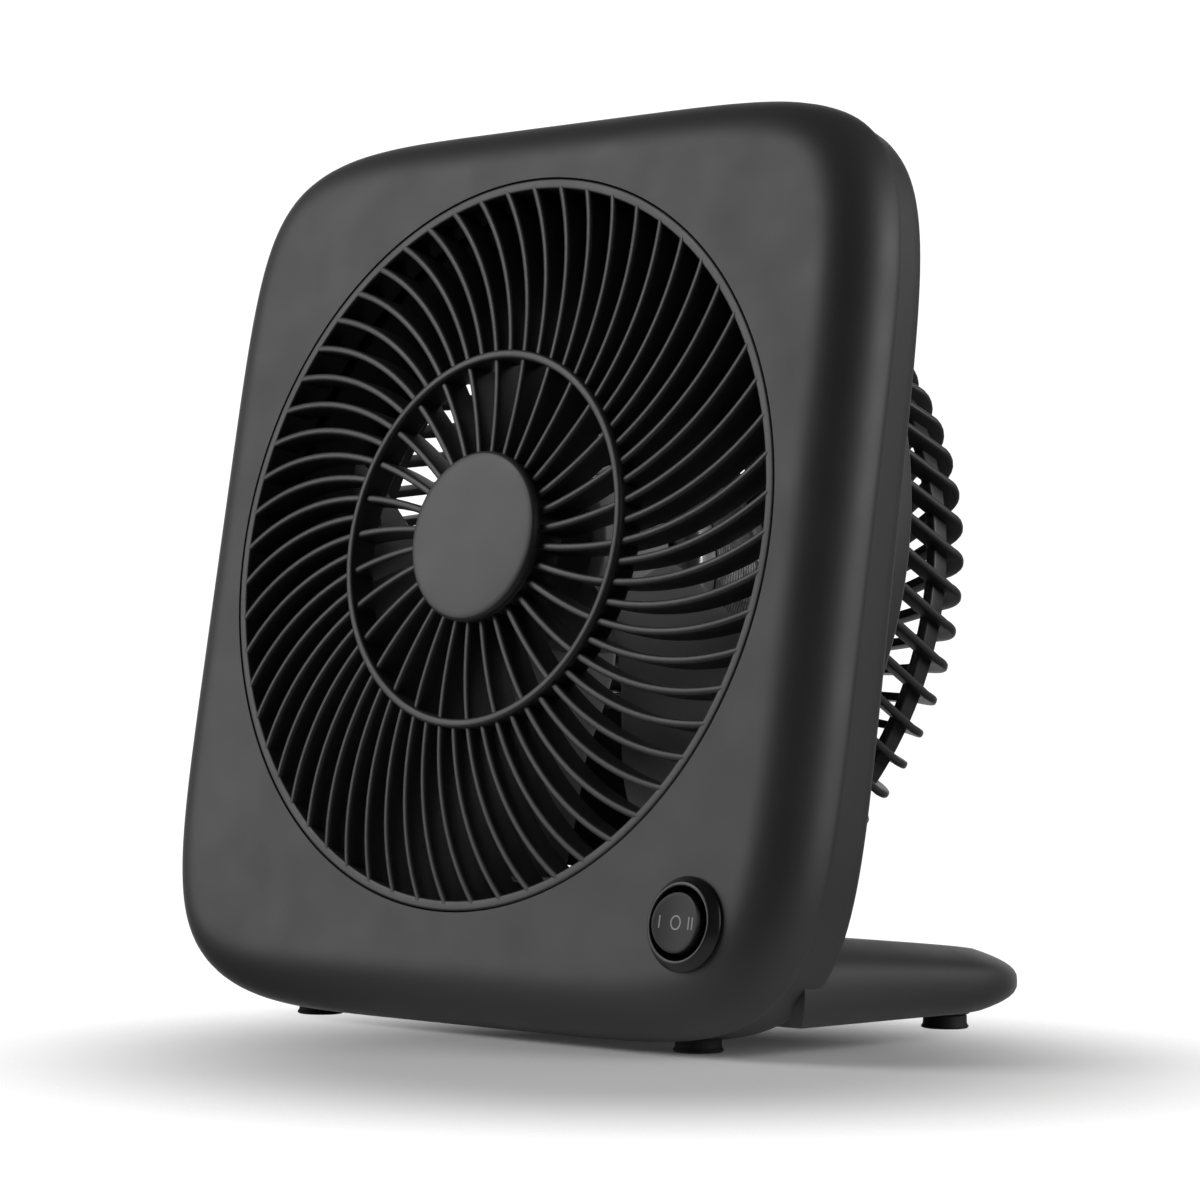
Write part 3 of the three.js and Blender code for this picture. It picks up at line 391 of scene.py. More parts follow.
class Finish:
    def __init__(self, name, metallic=0.0, **sockets):
        self.material = bpy.data.materials.new(name)
        self.material.use_nodes = True
        self.nodes, self.links = self.material.node_tree.nodes, self.material.node_tree.links
        self.shader = self.nodes["Principled BSDF"]
        self.place = Value(self, self.add("ShaderNodeTexCoord").outputs["Object"])
        self.set(Metallic=metallic, **sockets)

    def add(self, kind, settings=None, inputs=None):
        node = self.nodes.new(kind)
        for key, value in (settings or {}).items():
            setattr(node, key, value)
        for key, value in (inputs or {}).items():
            if isinstance(value, Value):
                self.links.new(value.socket, node.inputs[key])
            else:
                node.inputs[key].default_value = value
        return node

    def set(self, **sockets):
        for key, value in sockets.items():
            socket = self.shader.inputs[key.replace("_", " ")]
            if isinstance(value, Value):
                self.links.new(value.socket, socket)
            else:
                socket.default_value = value

    def noise(self, scale, detail=2.0):
        inputs = {"Vector": self.place, "Scale": scale, "Detail": detail}
        node = self.add("ShaderNodeTexNoise", {}, inputs)
        return Value(self, node.outputs["Fac"])

    def depth(self):
        """Distance behind the face, in millimetres."""
        node = self.add("ShaderNodeVectorMath", {"operation": "DOT_PRODUCT"},
                        {0: self.place, 1: tuple(back_way)})
        return (Value(self, node.outputs["Value"]) - spin_place.dot(back_way)) * 1000

    def radius(self):
        """Distance from the fan's axis, in millimetres."""
        away = self.add("ShaderNodeVectorMath", {"operation": "SUBTRACT"},
                        {0: self.place, 1: tuple(spin_place)})
        across = self.add("ShaderNodeVectorMath", {"operation": "CROSS_PRODUCT"},
                          {0: Value(self, away.outputs[0]), 1: tuple(back_way)})
        length = self.add("ShaderNodeVectorMath", {"operation": "LENGTH"},
                          {0: Value(self, across.outputs[0])})
        return Value(self, length.outputs["Value"]) * 1000

    def mix(self, factor, first, second):
        """Colour first where factor is 0, second where it is 1."""
        node = self.add("ShaderNodeMix", {"data_type": "RGBA"}, {0: factor, 6: first, 7: second})
        return Value(self, node.outputs[2])

    def bump(self, height, distance, strength=1.0):
        node = self.add("ShaderNodeBump", {}, {"Height": height, "Distance": distance, "Strength": strength})
        self.set(Normal=Value(self, node.outputs["Normal"]))


def grey(level, warm=0.0):
    """A linear colour from a displayed grey level of 0 to 255."""
    share = level / 255
    linear = ((share + 0.055) / 1.055) ** 2.4 if share > 0.04045 else share / 12.92
    return (linear * (1 + warm), linear, linear * (1 - warm), 1.0)


print("shader tools ready")

# %% [markdown]
# ## Finishes
# The shells are moulded in charcoal plastic with a fine spark-eroded texture. Three things make it look
# real: a grain of a third of a millimetre in the bump, a faint cloudiness in the colour, and a roughness that
# is not the same everywhere, because hands polish it. The grille has the same grey and is a little smoother,
# and the impeller is a much lighter grey.

# %% Plastics
def moulded(name, level, roughness, grain=3200, relief=0.000012, cloud=0.05, polish=0.07, **sockets):
    finish = Finish(name, **sockets)
    clouds = finish.noise(26, 3)
    specks = finish.noise(grain, 1)
    shade = clouds * (2 * cloud) + specks * 0.06
    darker, lighter = grey(level * 0.955), grey(level * 1.045)
    finish.set(Base_Color=finish.mix(shade.above(0.0, 0.12 + 2 * cloud), darker, lighter))
    finish.set(Roughness=finish.noise(60, 2) * (2 * polish) + specks * 0.05 + (roughness - polish - 0.025))
    finish.bump(specks + finish.noise(grain / 5, 1) * 0.35, relief)
    return finish.material


shell_plastic = moulded("charcoal_shell", 54, 0.5)
grille_plastic = moulded("charcoal_grille", 54, 0.44, relief=0.000008)
badge_plastic = moulded("charcoal_badge", 59, 0.44, grain=4200, relief=0.000005)
impeller_plastic = moulded("grey_impeller", 160, 0.36, relief=0.000004, cloud=0.07)
black_plastic = moulded("black_plastic", 6, 0.55, relief=0.00001)
switch_plastic = moulded("switch_black", 22, 0.34, grain=5200, relief=0.000004)
rocker_plastic = moulded("rocker_black", 11, 0.55, grain=5200, relief=0.000005)
mark_paint = moulded("mark_grey", 165, 0.5, grain=6000, relief=0.000003)
sleeve = moulded("lead_sleeve", 30, 0.45, relief=0.000006)
print("plastics", shell_plastic.name, grille_plastic.name, impeller_plastic.name)

# %% [markdown]
# Rubber is almost black and dull, with a little dust in its pores. The metals come from one recipe: a base
# colour, tarnish that changes colour and roughness together, and a relief that says how they were made.
# Laminations are stacked sheets, so their relief runs with the depth, and the windings show their wire.

# %% Rubber and metals
def dull_rubber():
    finish = Finish("foot_rubber")
    dust = finish.noise(420, 4).above(0.52, 0.75)
    finish.set(Base_Color=finish.mix(dust, grey(14), grey(34)), Roughness=dust * 0.12 + 0.72)
    finish.bump(finish.noise(2600, 2), 0.00002)
    return finish.material


def metal(name, colour, stained, roughness, relief=None, distance=0.00002):
    finish = Finish(name, metallic=1.0)
    tarnish = finish.noise(300, 4).above(0.42, 0.7)
    finish.set(Base_Color=finish.mix(tarnish, colour, stained), Roughness=tarnish * 0.18 + roughness)
    finish.bump(relief(finish) if relief else finish.noise(1800, 2), distance)
    return finish.material


SHEET_THICKNESS, WIRE_THICKNESS = 1.0, 0.55


def laminations(finish):
    return (finish.depth() * (2 * math.pi / SHEET_THICKNESS)).sine() + finish.noise(900, 2)


def wires(finish):
    waves = 2 * math.pi / WIRE_THICKNESS
    return (finish.radius() * waves).sine() + (finish.depth() * waves).sine()


foot_rubber = dull_rubber()
zinc = metal("zinc_steel", (0.42, 0.42, 0.43, 1), (0.26, 0.26, 0.27, 1), 0.3)
lamination_steel = metal("silicon_steel", (0.24, 0.24, 0.25, 1), (0.12, 0.11, 0.11, 1), 0.42,
                         laminations, 0.00012)
copper = metal("copper_winding", (0.55, 0.2, 0.08, 1), (0.3, 0.09, 0.035, 1), 0.3, wires, 0.00012)
bronze = metal("sintered_bronze", (0.36, 0.24, 0.12, 1), (0.2, 0.13, 0.07, 1), 0.45)
print("metals", zinc.name, lamination_steel.name, copper.name, bronze.name)

# %% [markdown]
# ## The front shell
# The outline is a superellipse: a square whose sides bow and whose corners are round. Rings of it are pulled
# in along their normals and set back, first round the edge, then inside to give the wall its thickness.
# One ring just inside the flat keeps the shading of the large flat face even. The openings are cut last.

# %% Front shell
BODY_HALF_WIDTH, BODY_HALF_HEIGHT, BODY_CENTRE, BODY_SQUARENESS = 116.0, 119.5, -4.5, 6
EDGE_ROUND, SHELL_WALL, GAP = 15.0, 2.5, 0.3
OPENING_RADIUS, RIM_RADIUS, RIM_DEPTH = 93.5, 96.2, 11.5
BACK_DEPTH, BACK_LEAN = 28.5, 0.02
SWITCH_BARREL = 9.8


def outline_ring(inset, depth, lean=0.0, count=240):
    points = []
    power = BODY_SQUARENESS
    for i in range(count):
        even = 2 * math.pi * i / count
        angle = even + 0.11 * math.sin(4 * even)
        across, along = math.cos(angle), math.sin(angle)
        share = abs(across / BODY_HALF_WIDTH) ** power + abs(along / BODY_HALF_HEIGHT) ** power
        reach = share ** (-1 / power)
        x, up = reach * across, reach * along
        normal = Vector((
            math.copysign(abs(x / BODY_HALF_WIDTH) ** (power - 1) / BODY_HALF_WIDTH, x),
            math.copysign(abs(up / BODY_HALF_HEIGHT) ** (power - 1) / BODY_HALF_HEIGHT, up),
        )).normalized()
        height = up - inset * normal.y + BODY_CENTRE
        points.append((x - inset * normal.x, depth - lean * height, height))
    return points


def quarter(wall, steps):
    """Rings round the front edge, from the flat face to the side."""
    bend = EDGE_ROUND - wall
    angles = [math.radians(90 * step / steps) for step in range(steps + 1)]
    return [(wall + bend * (1 - math.sin(a)), wall + bend * (1 - math.cos(a))) for a in angles]


outer_rings = [(EDGE_ROUND + 1.5, 0.0), *quarter(0, 12)[:-1], (0.0, EDGE_ROUND - 0.5), (0.25, EDGE_ROUND)]
inner_rings = [(SHELL_WALL - 0.2, EDGE_ROUND), *reversed(quarter(SHELL_WALL, 6))]
shell_rings = [outline_ring(inset, depth) for inset, depth in outer_rings + inner_rings]
front_shell = draft("front_shell", loft(shell_rings))
opening = RIM_RADIUS + GAP
air_opening = [(0, -1), (opening + 0.5, -1), (opening - 0.05, 0.2), (opening, 30), (0, 30)]
switch_opening = ring_outline(0, SWITCH_BARREL + GAP, -1, 30)
cut(front_shell, turned(air_opening, 240), turned(switch_opening, 48, SWITCH_X, SWITCH_UP))
settle(front_shell, HEAD, shell_plastic, "charcoal_shell", FAN_BODY, "front_housing")

# %% [markdown]
# ## The front grille
# Sixty ribs swirl out from a middle ring, and every other one goes on to the hub. One rib is enough: it is a
# bar with a rounded crest whose rings follow the swirl, and the tree turns its copies about the axis.
# The crests bulge forward a little towards the middle, and the middle ring stands proud of them.

# %% Front grille
RIBS, RIB_THICKNESS, RIB_DEPTH = 60, 2.0, 8.4
RING_RADIUS, RING_WIDTH, HUB_RADIUS, DOME_HEIGHT = 48.5, 2.4, 22.0, 3.9
SWIRL_START = 0.27


def front_swirl(radius):
    along = radius / OPENING_RADIUS - SWIRL_START
    return math.radians(5.66 + 13.3 * along + 16.2 * along ** 2)


def dome_depth(radius):
    return -DOME_HEIGHT * math.cos(math.pi / 2 * min(1, radius / OPENING_RADIUS)) ** 0.75


def bar_section(thickness, depth, crest, steps=3):
    """Half-rounded section of a rib: across and along its depth, the crest at 0."""
    half = thickness / 2
    outline = [(half, depth), (half, 0), (-half, 0), (-half, depth)]
    flat = []
    for i, corner in enumerate(outline):
        here, before, after = Vector(corner), Vector(outline[i - 1]), Vector(outline[(i + 1) % 4])
        reach = min(crest if corner[1] == 0 else 0.3, half * 0.95)
        start, end = here + (before - here).normalized() * reach, here + (after - here).normalized() * reach
        flat += corner_curve(start, here, end, steps)
    return flat


def directions(angle):
    """Outwards from the axis at an angle, and sideways, along the turn."""
    out = Vector((math.cos(angle), 0, math.sin(angle)))
    return out, Vector((-out.z, 0, out.x))


def front_rib(inner, outer, stations):
    rings = []
    for i in range(stations + 1):
        radius = inner + (outer - inner) * i / stations
        along = radius / OPENING_RADIUS - SWIRL_START
        slope = radius / OPENING_RADIUS * math.radians(13.3 + 32.4 * along)
        section = bar_section(RIB_THICKNESS, RIB_DEPTH, 0.85)
        angle = front_swirl(radius)
        out, side = directions(angle)
        square = (side - slope * out).normalized()
        rings.append([
            tuple(out * radius + square * across + Vector((0, dome_depth(radius) + depth, 0)))
            for across, depth in section
        ])
    return loft(rings)


long_ribs = draft("front_ribs", front_rib(RING_RADIUS, OPENING_RADIUS + 1.2, 14))
run_tree(long_ribs, AROUND, Copies=RIBS, Turn=math.radians(6), Start=0.0, Material=grille_plastic)
short_ribs = draft("inner_ribs", front_rib(HUB_RADIUS - 1, RING_RADIUS, 7))
run_tree(short_ribs, AROUND, Copies=RIBS // 2, Turn=math.radians(12), Start=0.0, Material=grille_plastic)
ring_crest = dome_depth(RING_RADIUS) - 1.2
middle_ring = softened(ring_outline(RING_RADIUS - RING_WIDTH / 2, RING_RADIUS + RING_WIDTH / 2,
                                    ring_crest, ring_crest + RIB_DEPTH), 0.9)
rim = softened(ring_outline(OPENING_RADIUS, RIM_RADIUS, 0, RIM_DEPTH), 0.6)
hub_front = dome_depth(HUB_RADIUS) - 0.4
hub = softened([
    (0, hub_front), (HUB_RADIUS, hub_front), (HUB_RADIUS, hub_front + RIB_DEPTH),
    (HUB_RADIUS - 2, hub_front + RIB_DEPTH), (HUB_RADIUS - 2, hub_front + 2), (0, hub_front + 2),
], 0.5)
grille_rings = draft("grille_rings", turned(middle_ring, 180), turned(rim, 240), turned(hub, 96))
front_grille = merged(grille_rings, long_ribs, short_ribs)
front_grille.name = "front_grille_ribs"
settle(front_grille, HEAD, grille_plastic, "grille_plastic", FAN_BODY, "front_grille", corner=50)

# %% [markdown]
# The cap in the middle is plain. It is turned with a face that domes by a few tenths of a millimetre and an
# edge that rolls over, because a perfectly flat disc would mirror the light all at once.

# %% Hub cap
BADGE_RADIUS, BADGE_THICKNESS = 22.4, 2.7
badge_back = hub_front - GAP
badge_front = badge_back - BADGE_THICKNESS
face_line = [(BADGE_RADIUS * t, badge_front + 0.45 * t ** 2) for t in (0.0, 0.2, 0.4, 0.6, 0.8, 0.9)]
edge_line = [
    (BADGE_RADIUS - 1.35 + 1.35 * math.sin(a), badge_front + 0.45 + 1.35 - 1.35 * math.cos(a))
    for a in (math.radians(15 * step) for step in range(1, 7))
]
badge_outline = [
    *face_line, *edge_line,
    (BADGE_RADIUS, badge_back - 0.3), (BADGE_RADIUS - 0.3, badge_back), (0, badge_back),
]
hub_cap = draft("hub_cap", turned(badge_outline, 128))
settle(hub_cap, HEAD, badge_plastic, "badge_plastic", FAN_BODY, "grille_badge")

# %% [markdown]
# ## The rear shell
# Behind the seam the shell goes on a little narrower, turns over a small round and closes with a flat back,
# from which a round drum stands out to carry the basket. The foot grows out of its lower edge.

# %% Rear shell and drum
DRUM_RADIUS, DRUM_DEPTH = 111.0, 38.7
BASKET_RADIUS, BASKET_DEPTH, BASKET_CORNER = 91.0, 89.0, 11.0
MOUTH = BASKET_RADIUS + 1 + GAP
seam = EDGE_ROUND + GAP
back_rings = [
    (12, BACK_DEPTH), (5.8, BACK_DEPTH), (4.4, BACK_DEPTH - 0.25), (3.1, BACK_DEPTH - 0.95),
    (2.2, BACK_DEPTH - 2.0), (1.7, BACK_DEPTH - 3.4), (1.45, BACK_DEPTH - 5.5),
]
rear_rings = [outline_ring(inset, depth, BACK_LEAN) for inset, depth in back_rings]
rear_rings += [outline_ring(1.0, seam + 0.4), outline_ring(1.3, seam), outline_ring(4.4, seam)]
rear_rings += [outline_ring(5.0, seam + 1), outline_ring(5.0, BACK_DEPTH - SHELL_WALL, BACK_LEAN)]
rear_shell = draft("rear_shell", loft(rear_rings))
screw_places = [(-86, 83.5), (86, 83.5), (-45, -112.5), (45, -112.5)]
gland_place = (-85, -85)
GLAND_HOLE, SCREW_HOLE, SCREW_SEAT = 5.3, 3.7, BACK_DEPTH - 5
screw_hole = ring_outline(0, SCREW_HOLE, SCREW_SEAT, 45)
cut(
    rear_shell, turned(ring_outline(0, MOUTH + 4, 5, 60), 160),
    turned(ring_outline(0, GLAND_HOLE, 20, 45), 32, *gland_place),
    *[turned(screw_hole, 32, x, up) for x, up in screw_places],
)
settle(rear_shell, HEAD, shell_plastic, "charcoal_shell", FAN_BODY, "rear_housing")
drum_outline = softened([
    (MOUTH, 13), (MOUTH + 2, 13), (MOUTH + 2, DRUM_DEPTH - SHELL_WALL),
    (DRUM_RADIUS - 5, DRUM_DEPTH - SHELL_WALL), (DRUM_RADIUS - 4, BACK_DEPTH - 2.6),
    (DRUM_RADIUS + 0.4, BACK_DEPTH - 2.6), (DRUM_RADIUS - 0.4, DRUM_DEPTH - 3),
    (DRUM_RADIUS - 4, DRUM_DEPTH), (MOUTH, DRUM_DEPTH),
], 1.6, 4)
settle(draft("rear_drum", turned(drum_outline, 200)), HEAD, shell_plastic, "charcoal_shell", FAN_BODY)

# %% [markdown]
# ## The foot
# The foot is a flat pillow with big round back corners. Its plan is drawn at many heights, pulled in towards
# the bottom and the top, and the top slopes down to the back. The basket hangs over it in a round hollow.

# %% Foot
UNDERSIDE = 7.2
FOOT_HALF_WIDTH, FOOT_BACK, FOOT_FRONT, FOOT_CORNER = 105.0, 118.0, 4.0, 47.0
FOOT_TOP_FRONT, FOOT_TOP_BACK = 29.5, 19.5


def foot_plan(inset):
    half, back, corner = FOOT_HALF_WIDTH - inset, FOOT_BACK - inset, FOOT_CORNER - inset
    front = FOOT_FRONT + inset
    points = [(-half, front), (half, front)]
    points += [(half, front + (back - corner - front) * i / 12) for i in range(1, 12)]
    steps = 24
    for i in range(steps + 1):
        angle = math.pi / 2 * i / steps
        points.append((half - corner * (1 - math.cos(angle)), back - corner * (1 - math.sin(angle))))
    points += [(half - corner - 2 * (half - corner) * i / 16, back) for i in range(1, 16)]
    for i in range(steps + 1):
        angle = math.pi / 2 * (1 + i / steps)
        points.append((-half + corner * (1 + math.cos(angle)), back - corner * (1 - math.sin(angle))))
    points += [(-half, back - corner - (back - corner - front) * i / 12) for i in range(1, 12)]
    return points


def foot_top(y):
    along = max(0.0, (y - FOOT_FRONT) / (FOOT_BACK - FOOT_FRONT))
    return FOOT_TOP_FRONT + (FOOT_TOP_BACK - FOOT_TOP_FRONT) * along ** 1.3


def foot_inset(share):
    """How far the plan is pulled in at a share of the height."""
    below = 8 * max(0, 1 - share / 0.42) ** 2.2
    above = 11.5 * max(0, (share - 0.5) / 0.5) ** 2.6
    return below + above


def foot_rings():
    rings = []
    shares = [0, 0.02, 0.05, 0.09, 0.14, 0.2, 0.28, 0.38, 0.5, 0.6]
    shares += [0.68, 0.75, 0.81, 0.86, 0.9, 0.93, 0.96, 0.98, 1]
    for share in shares:
        ring = foot_plan(foot_inset(share))
        rings.append([(x, y, UNDERSIDE + share * (foot_top(y) - UNDERSIDE)) for x, y in ring])
    lid = foot_plan(14)
    rings.append([(x, y, foot_top(y) + 0.15) for x, y in lid])
    flat = foot_plan(9.5)
    rings.insert(0, [(x, y, UNDERSIDE) for x, y in flat])
    return rings


foot = draft("foot_body", loft(foot_rings()))
saddle = draft("saddle", turned([
    (0, DRUM_DEPTH + 1.5), (BASKET_RADIUS + 1.5, DRUM_DEPTH + 1.5), (BASKET_RADIUS + 1.5, BASKET_DEPTH - 9.5),
    (BASKET_RADIUS - 1, BASKET_DEPTH - 3), (BASKET_RADIUS - 6, BASKET_DEPTH + 0.6),
    (BASKET_RADIUS - 9.5, BASKET_DEPTH + 1.5), (0, BASKET_DEPTH + 1.5),
], 180))
saddle.data.transform(BASE.inverted() @ HEAD)
COVER_HALF_WIDTH, COVER_FRONT, COVER_BACK, COVER_THICKNESS = 58.0, 16.0, 92.0, 3.0
cut(
    foot, shape_of(saddle),
    block((-COVER_HALF_WIDTH - GAP, COVER_FRONT - GAP, 0),
          (COVER_HALF_WIDTH + GAP, COVER_BACK + GAP, UNDERSIDE + COVER_THICKNESS + GAP)),
)
bpy.data.objects.remove(saddle)
settle(foot, BASE, shell_plastic, "charcoal_shell", FAN_BODY, corner=30)

# %% [markdown]
# Under the foot there are four rubber feet on short round seats, and a cover plate held by four screws.

# %% Seats, rubber feet and cover
FEET = {
    "foot_front_left": (-69.2, 5.7), "foot_front_right": (69.2, 5.7),
    "foot_rear_left": (-69.2, 102.5), "foot_rear_right": (69.2, 102.5),
}
RUBBER_HEIGHT, RUBBER_RADIUS, RUBBER_LIP = 3.5, 5.8, 6.4
SEAT_RADIUS, seat_low, seat_top = 6.5, RUBBER_HEIGHT + GAP, UNDERSIDE + SHELL_WALL
seat = softened(ring_outline(0, SEAT_RADIUS, seat_low, seat_top), 0.4)
seats = draft("foot_seats", *[upright(seat, 48, x, y) for x, y in FEET.values()])
settle(seats, BASE, shell_plastic, "charcoal_shell", FAN_BODY)
rubber_outline = softened([
    (0, 0), (RUBBER_LIP - 0.5, 0), (RUBBER_LIP, 0.5), (RUBBER_RADIUS, 1.3), (RUBBER_RADIUS, RUBBER_HEIGHT),
    (0, RUBBER_HEIGHT),
], 0.35)
for name, (x, y) in FEET.items():
    rubber_foot = draft("rubber_" + name, upright(rubber_outline, 64, x, y))
    settle(rubber_foot, BASE, foot_rubber, "foot_rubber", FAN_BODY, name)
cover = draft("cover_plate", block((-COVER_HALF_WIDTH, COVER_FRONT, UNDERSIDE),
                                   (COVER_HALF_WIDTH, COVER_BACK, UNDERSIDE + COVER_THICKNESS)))
base_screw_places = [(-48, 26), (48, 26), (-48, 82), (48, 82)]
COVER_HOLE, COVER_SEAT = 3.6, UNDERSIDE + 1.9
cover_hole = ring_outline(0, COVER_HOLE, 0, COVER_SEAT)
cut(cover, *[upright(cover_hole, 32, x, y) for x, y in base_screw_places])
bevelled(cover, 0.4)
settle(cover, BASE, shell_plastic, "charcoal_shell", FAN_BODY, "base_cover")

# %% [markdown]
# ## The rear basket
# Sixty fins run straight back from the drum, round a corner and in across the back, twisting as they go. As
# at the front, one fin of each length is drawn and turned about the axis. A band inside the corner and a ring
# on the back hold them together, and a plate in the middle carries the motor.

# %% Rear basket
FIN_DEPTH, FIN_THICKNESS, PLATE_RADIUS, BACK_RING_RADIUS = 5.0, 2.2, 36.0, 60.0
basket_inner, plate_front = BASKET_RADIUS - FIN_DEPTH, BASKET_DEPTH - FIN_DEPTH
bend_radius, bend_depth = BASKET_RADIUS - BASKET_CORNER, BASKET_DEPTH - BASKET_CORNER


def fin_stations(inner_end):
    """Outer edge (radius, depth), the way inwards, and the swing in degrees."""
    stations = []
    for i in range(9):
        t = i / 8
        stations.append(((BASKET_RADIUS, DRUM_DEPTH + 1 + t * (bend_depth - DRUM_DEPTH - 1)), (-1, 0), 8 * t))
    for i in range(1, 8):
        angle = math.radians(90 * i / 8)
        near = (bend_radius + BASKET_CORNER * math.cos(angle), bend_depth + BASKET_CORNER * math.sin(angle))
        stations.append((near, (-math.cos(angle), -math.sin(angle)), 8 + math.degrees(angle) / 45))
    steps = 5 if inner_end >= BACK_RING_RADIUS else 10
    for i in range(steps + 1):
        radius = bend_radius + (inner_end - bend_radius) * i / steps
        swing = 10 + 5 * (bend_radius - radius) / (bend_radius - BACK_RING_RADIUS)
        if radius < BACK_RING_RADIUS:
            swing = 15 + 10 * (BACK_RING_RADIUS - radius) / (BACK_RING_RADIUS - PLATE_RADIUS)
        stations.append(((radius, BASKET_DEPTH), (0, -1), swing))
    return stations


def basket_fin(inner_end):
    section = bar_section(FIN_THICKNESS, FIN_DEPTH, 1.0)
    rings = []
    for (radius, depth), (inward, forward), swing in fin_stations(inner_end):
        angle = math.radians(3 - swing)
        out, side = directions(angle)
        near = out * radius + Vector((0, depth, 0))
        way = out * inward + Vector((0, forward, 0))
        rings.append([tuple(near + side * across + way * along) for across, along in section])
    return loft(rings)


long_fins = draft("long_fins", basket_fin(PLATE_RADIUS - 1))
run_tree(long_fins, AROUND, Copies=30, Turn=math.radians(12), Start=0.0, Material=grille_plastic)
short_fins = draft("short_fins", basket_fin(BACK_RING_RADIUS))
run_tree(short_fins, AROUND, Copies=30, Turn=math.radians(12), Start=math.radians(6), Material=grille_plastic)
ear_back = DRUM_DEPTH + GAP + 2.6
seat_ring = softened(ring_outline(basket_inner - 0.8, BASKET_RADIUS + 1, DRUM_DEPTH - 5, ear_back), 0.6)
CORNER_RING = (84.5, 87.5, 74, 79.5)
corner_ring = softened(ring_outline(*CORNER_RING), 0.8)
back_ring = softened(ring_outline(BACK_RING_RADIUS - 1.3, BACK_RING_RADIUS + 1.3,
                                  plate_front, BASKET_DEPTH - 0.8), 0.8)
plate = softened([
    (0, plate_front), (PLATE_RADIUS, plate_front), (PLATE_RADIUS, BASKET_DEPTH - 0.3),
    (PLATE_RADIUS - 2, BASKET_DEPTH - 0.3), (PLATE_RADIUS - 2, plate_front + 3), (0, plate_front + 3),
], 0.5)
STATOR_RADIUS, STATOR_FRONT, STATOR_BACK, ROTOR_RADIUS = 31.0, 54.0, 70.0, 15.5
WINDING_LENGTH, COVER_WALL = 6.5, 1.5
COVER_LENGTH = WINDING_LENGTH + 0.7
MOTOR_BACK = STATOR_BACK + GAP + COVER_LENGTH + COVER_WALL
corner_places = [math.radians(angle) for angle in (45, 135, 225, 315)]


def at_corners(radius):
    return [(radius * math.cos(angle), radius * math.sin(angle)) for angle in corner_places]


motor_screw_places = at_corners(STATOR_RADIUS - 4.5)
standoff = softened(ring_outline(0, 4, MOTOR_BACK + GAP, plate_front + 1), 0.3)
basket_rings = draft(
    "basket_rings", turned(seat_ring, 180), turned(corner_ring, 180), turned(back_ring, 120),
    turned(plate, 96), *[turned(standoff, 32, x, up) for x, up in motor_screw_places],
)
DUCT_HALF_WIDTH = 17.0
flat_parts = draft(
    "basket_bars",
    block((-DUCT_HALF_WIDTH, plate_front, 2 - BASKET_RADIUS + BASKET_CORNER),
          (DUCT_HALF_WIDTH, plate_front + 3, 2 - PLATE_RADIUS)),
    block((-7, DRUM_DEPTH + 1, -BASKET_RADIUS + 0.4), (7, bend_depth, -basket_inner)),
)
bevelled(flat_parts, 0.5)
ears = draft("basket_ears", block((BASKET_RADIUS - 1.5, DRUM_DEPTH + GAP, -5),
                                  (BASKET_RADIUS + 12.5, ear_back, 5)))
bevelled(ears, 0.8)
run_tree(ears, AROUND, Copies=4, Turn=math.radians(90), Start=math.radians(45), Material=grille_plastic)
basket = merged(basket_rings, long_fins, short_fins, flat_parts, ears)
basket.name = "rear_basket"
settle(basket, HEAD, grille_plastic, "grille_plastic", FAN_BODY, "rear_grille", corner=50)

# %% [markdown]
# ## The impeller
# Each of the five blades is a thin, cambered sheet between a front edge and a rear edge. Both edges are
# angles that change with the radius, so the blade widens and sweeps towards its tip. The blade is drawn once,
# and its four fellows are turned copies. The hub is a cup, with a boss on the shaft inside it.

# %% Impeller
IMPELLER_RADIUS, IMPELLER_FRONT, IMPELLER_BACK, IMPELLER_HUB = 83.0, 16.0, 43.0, 24.0
SHAFT_RADIUS = 3.0
CAMBER, EDGE_THICKNESS = 2.4, 0.12


def smooth(value, low, high):
    return math.sin(math.pi / 2 * min(1, max(0, (value - low) / (high - low))))


def blade_angles(radius):
    front = -33 - 23 * smooth(radius, 36, 79) + 0.9 * max(0, 36 - radius)
    rear = -5.5 - 9.5 * smooth(radius, 36, 56) - 0.1 * max(0, radius - 56) + 0.9 * max(0, 36 - radius)
    return math.radians(front), math.radians(rear)


def blade_ring(radius, steps=18):
    trim = 0.16 * max(0.0, (radius - 79) / 4) ** 2
    half = 0.9 - 0.3 * radius / IMPELLER_RADIUS
    start, end = blade_angles(radius)
    front, back = IMPELLER_FRONT + 2, IMPELLER_BACK - 1
    pitch = math.atan2(back - front, radius * (end - start))

    def side(sign):
        points = []
        for i in range(steps + 1):
            share = 0.5 - 0.5 * math.cos(math.pi * i / steps)
            along = trim + (1 - 2 * trim) * share
            swell = half * math.sqrt(max(0.0, math.sin(math.pi * (0.02 + 0.96 * share))))
            thick = sign * (swell if 0 < i < steps else EDGE_THICKNESS)
            shift = CAMBER * math.sin(math.pi * along) + thick
            angle = start + (end - start) * along - shift * math.sin(pitch) / radius
            depth = front + (back - front) * along + shift * math.cos(pitch)
            points.append((radius * math.cos(angle), depth, radius * math.sin(angle)))
        return points

    return side(1) + side(-1)[::-1]


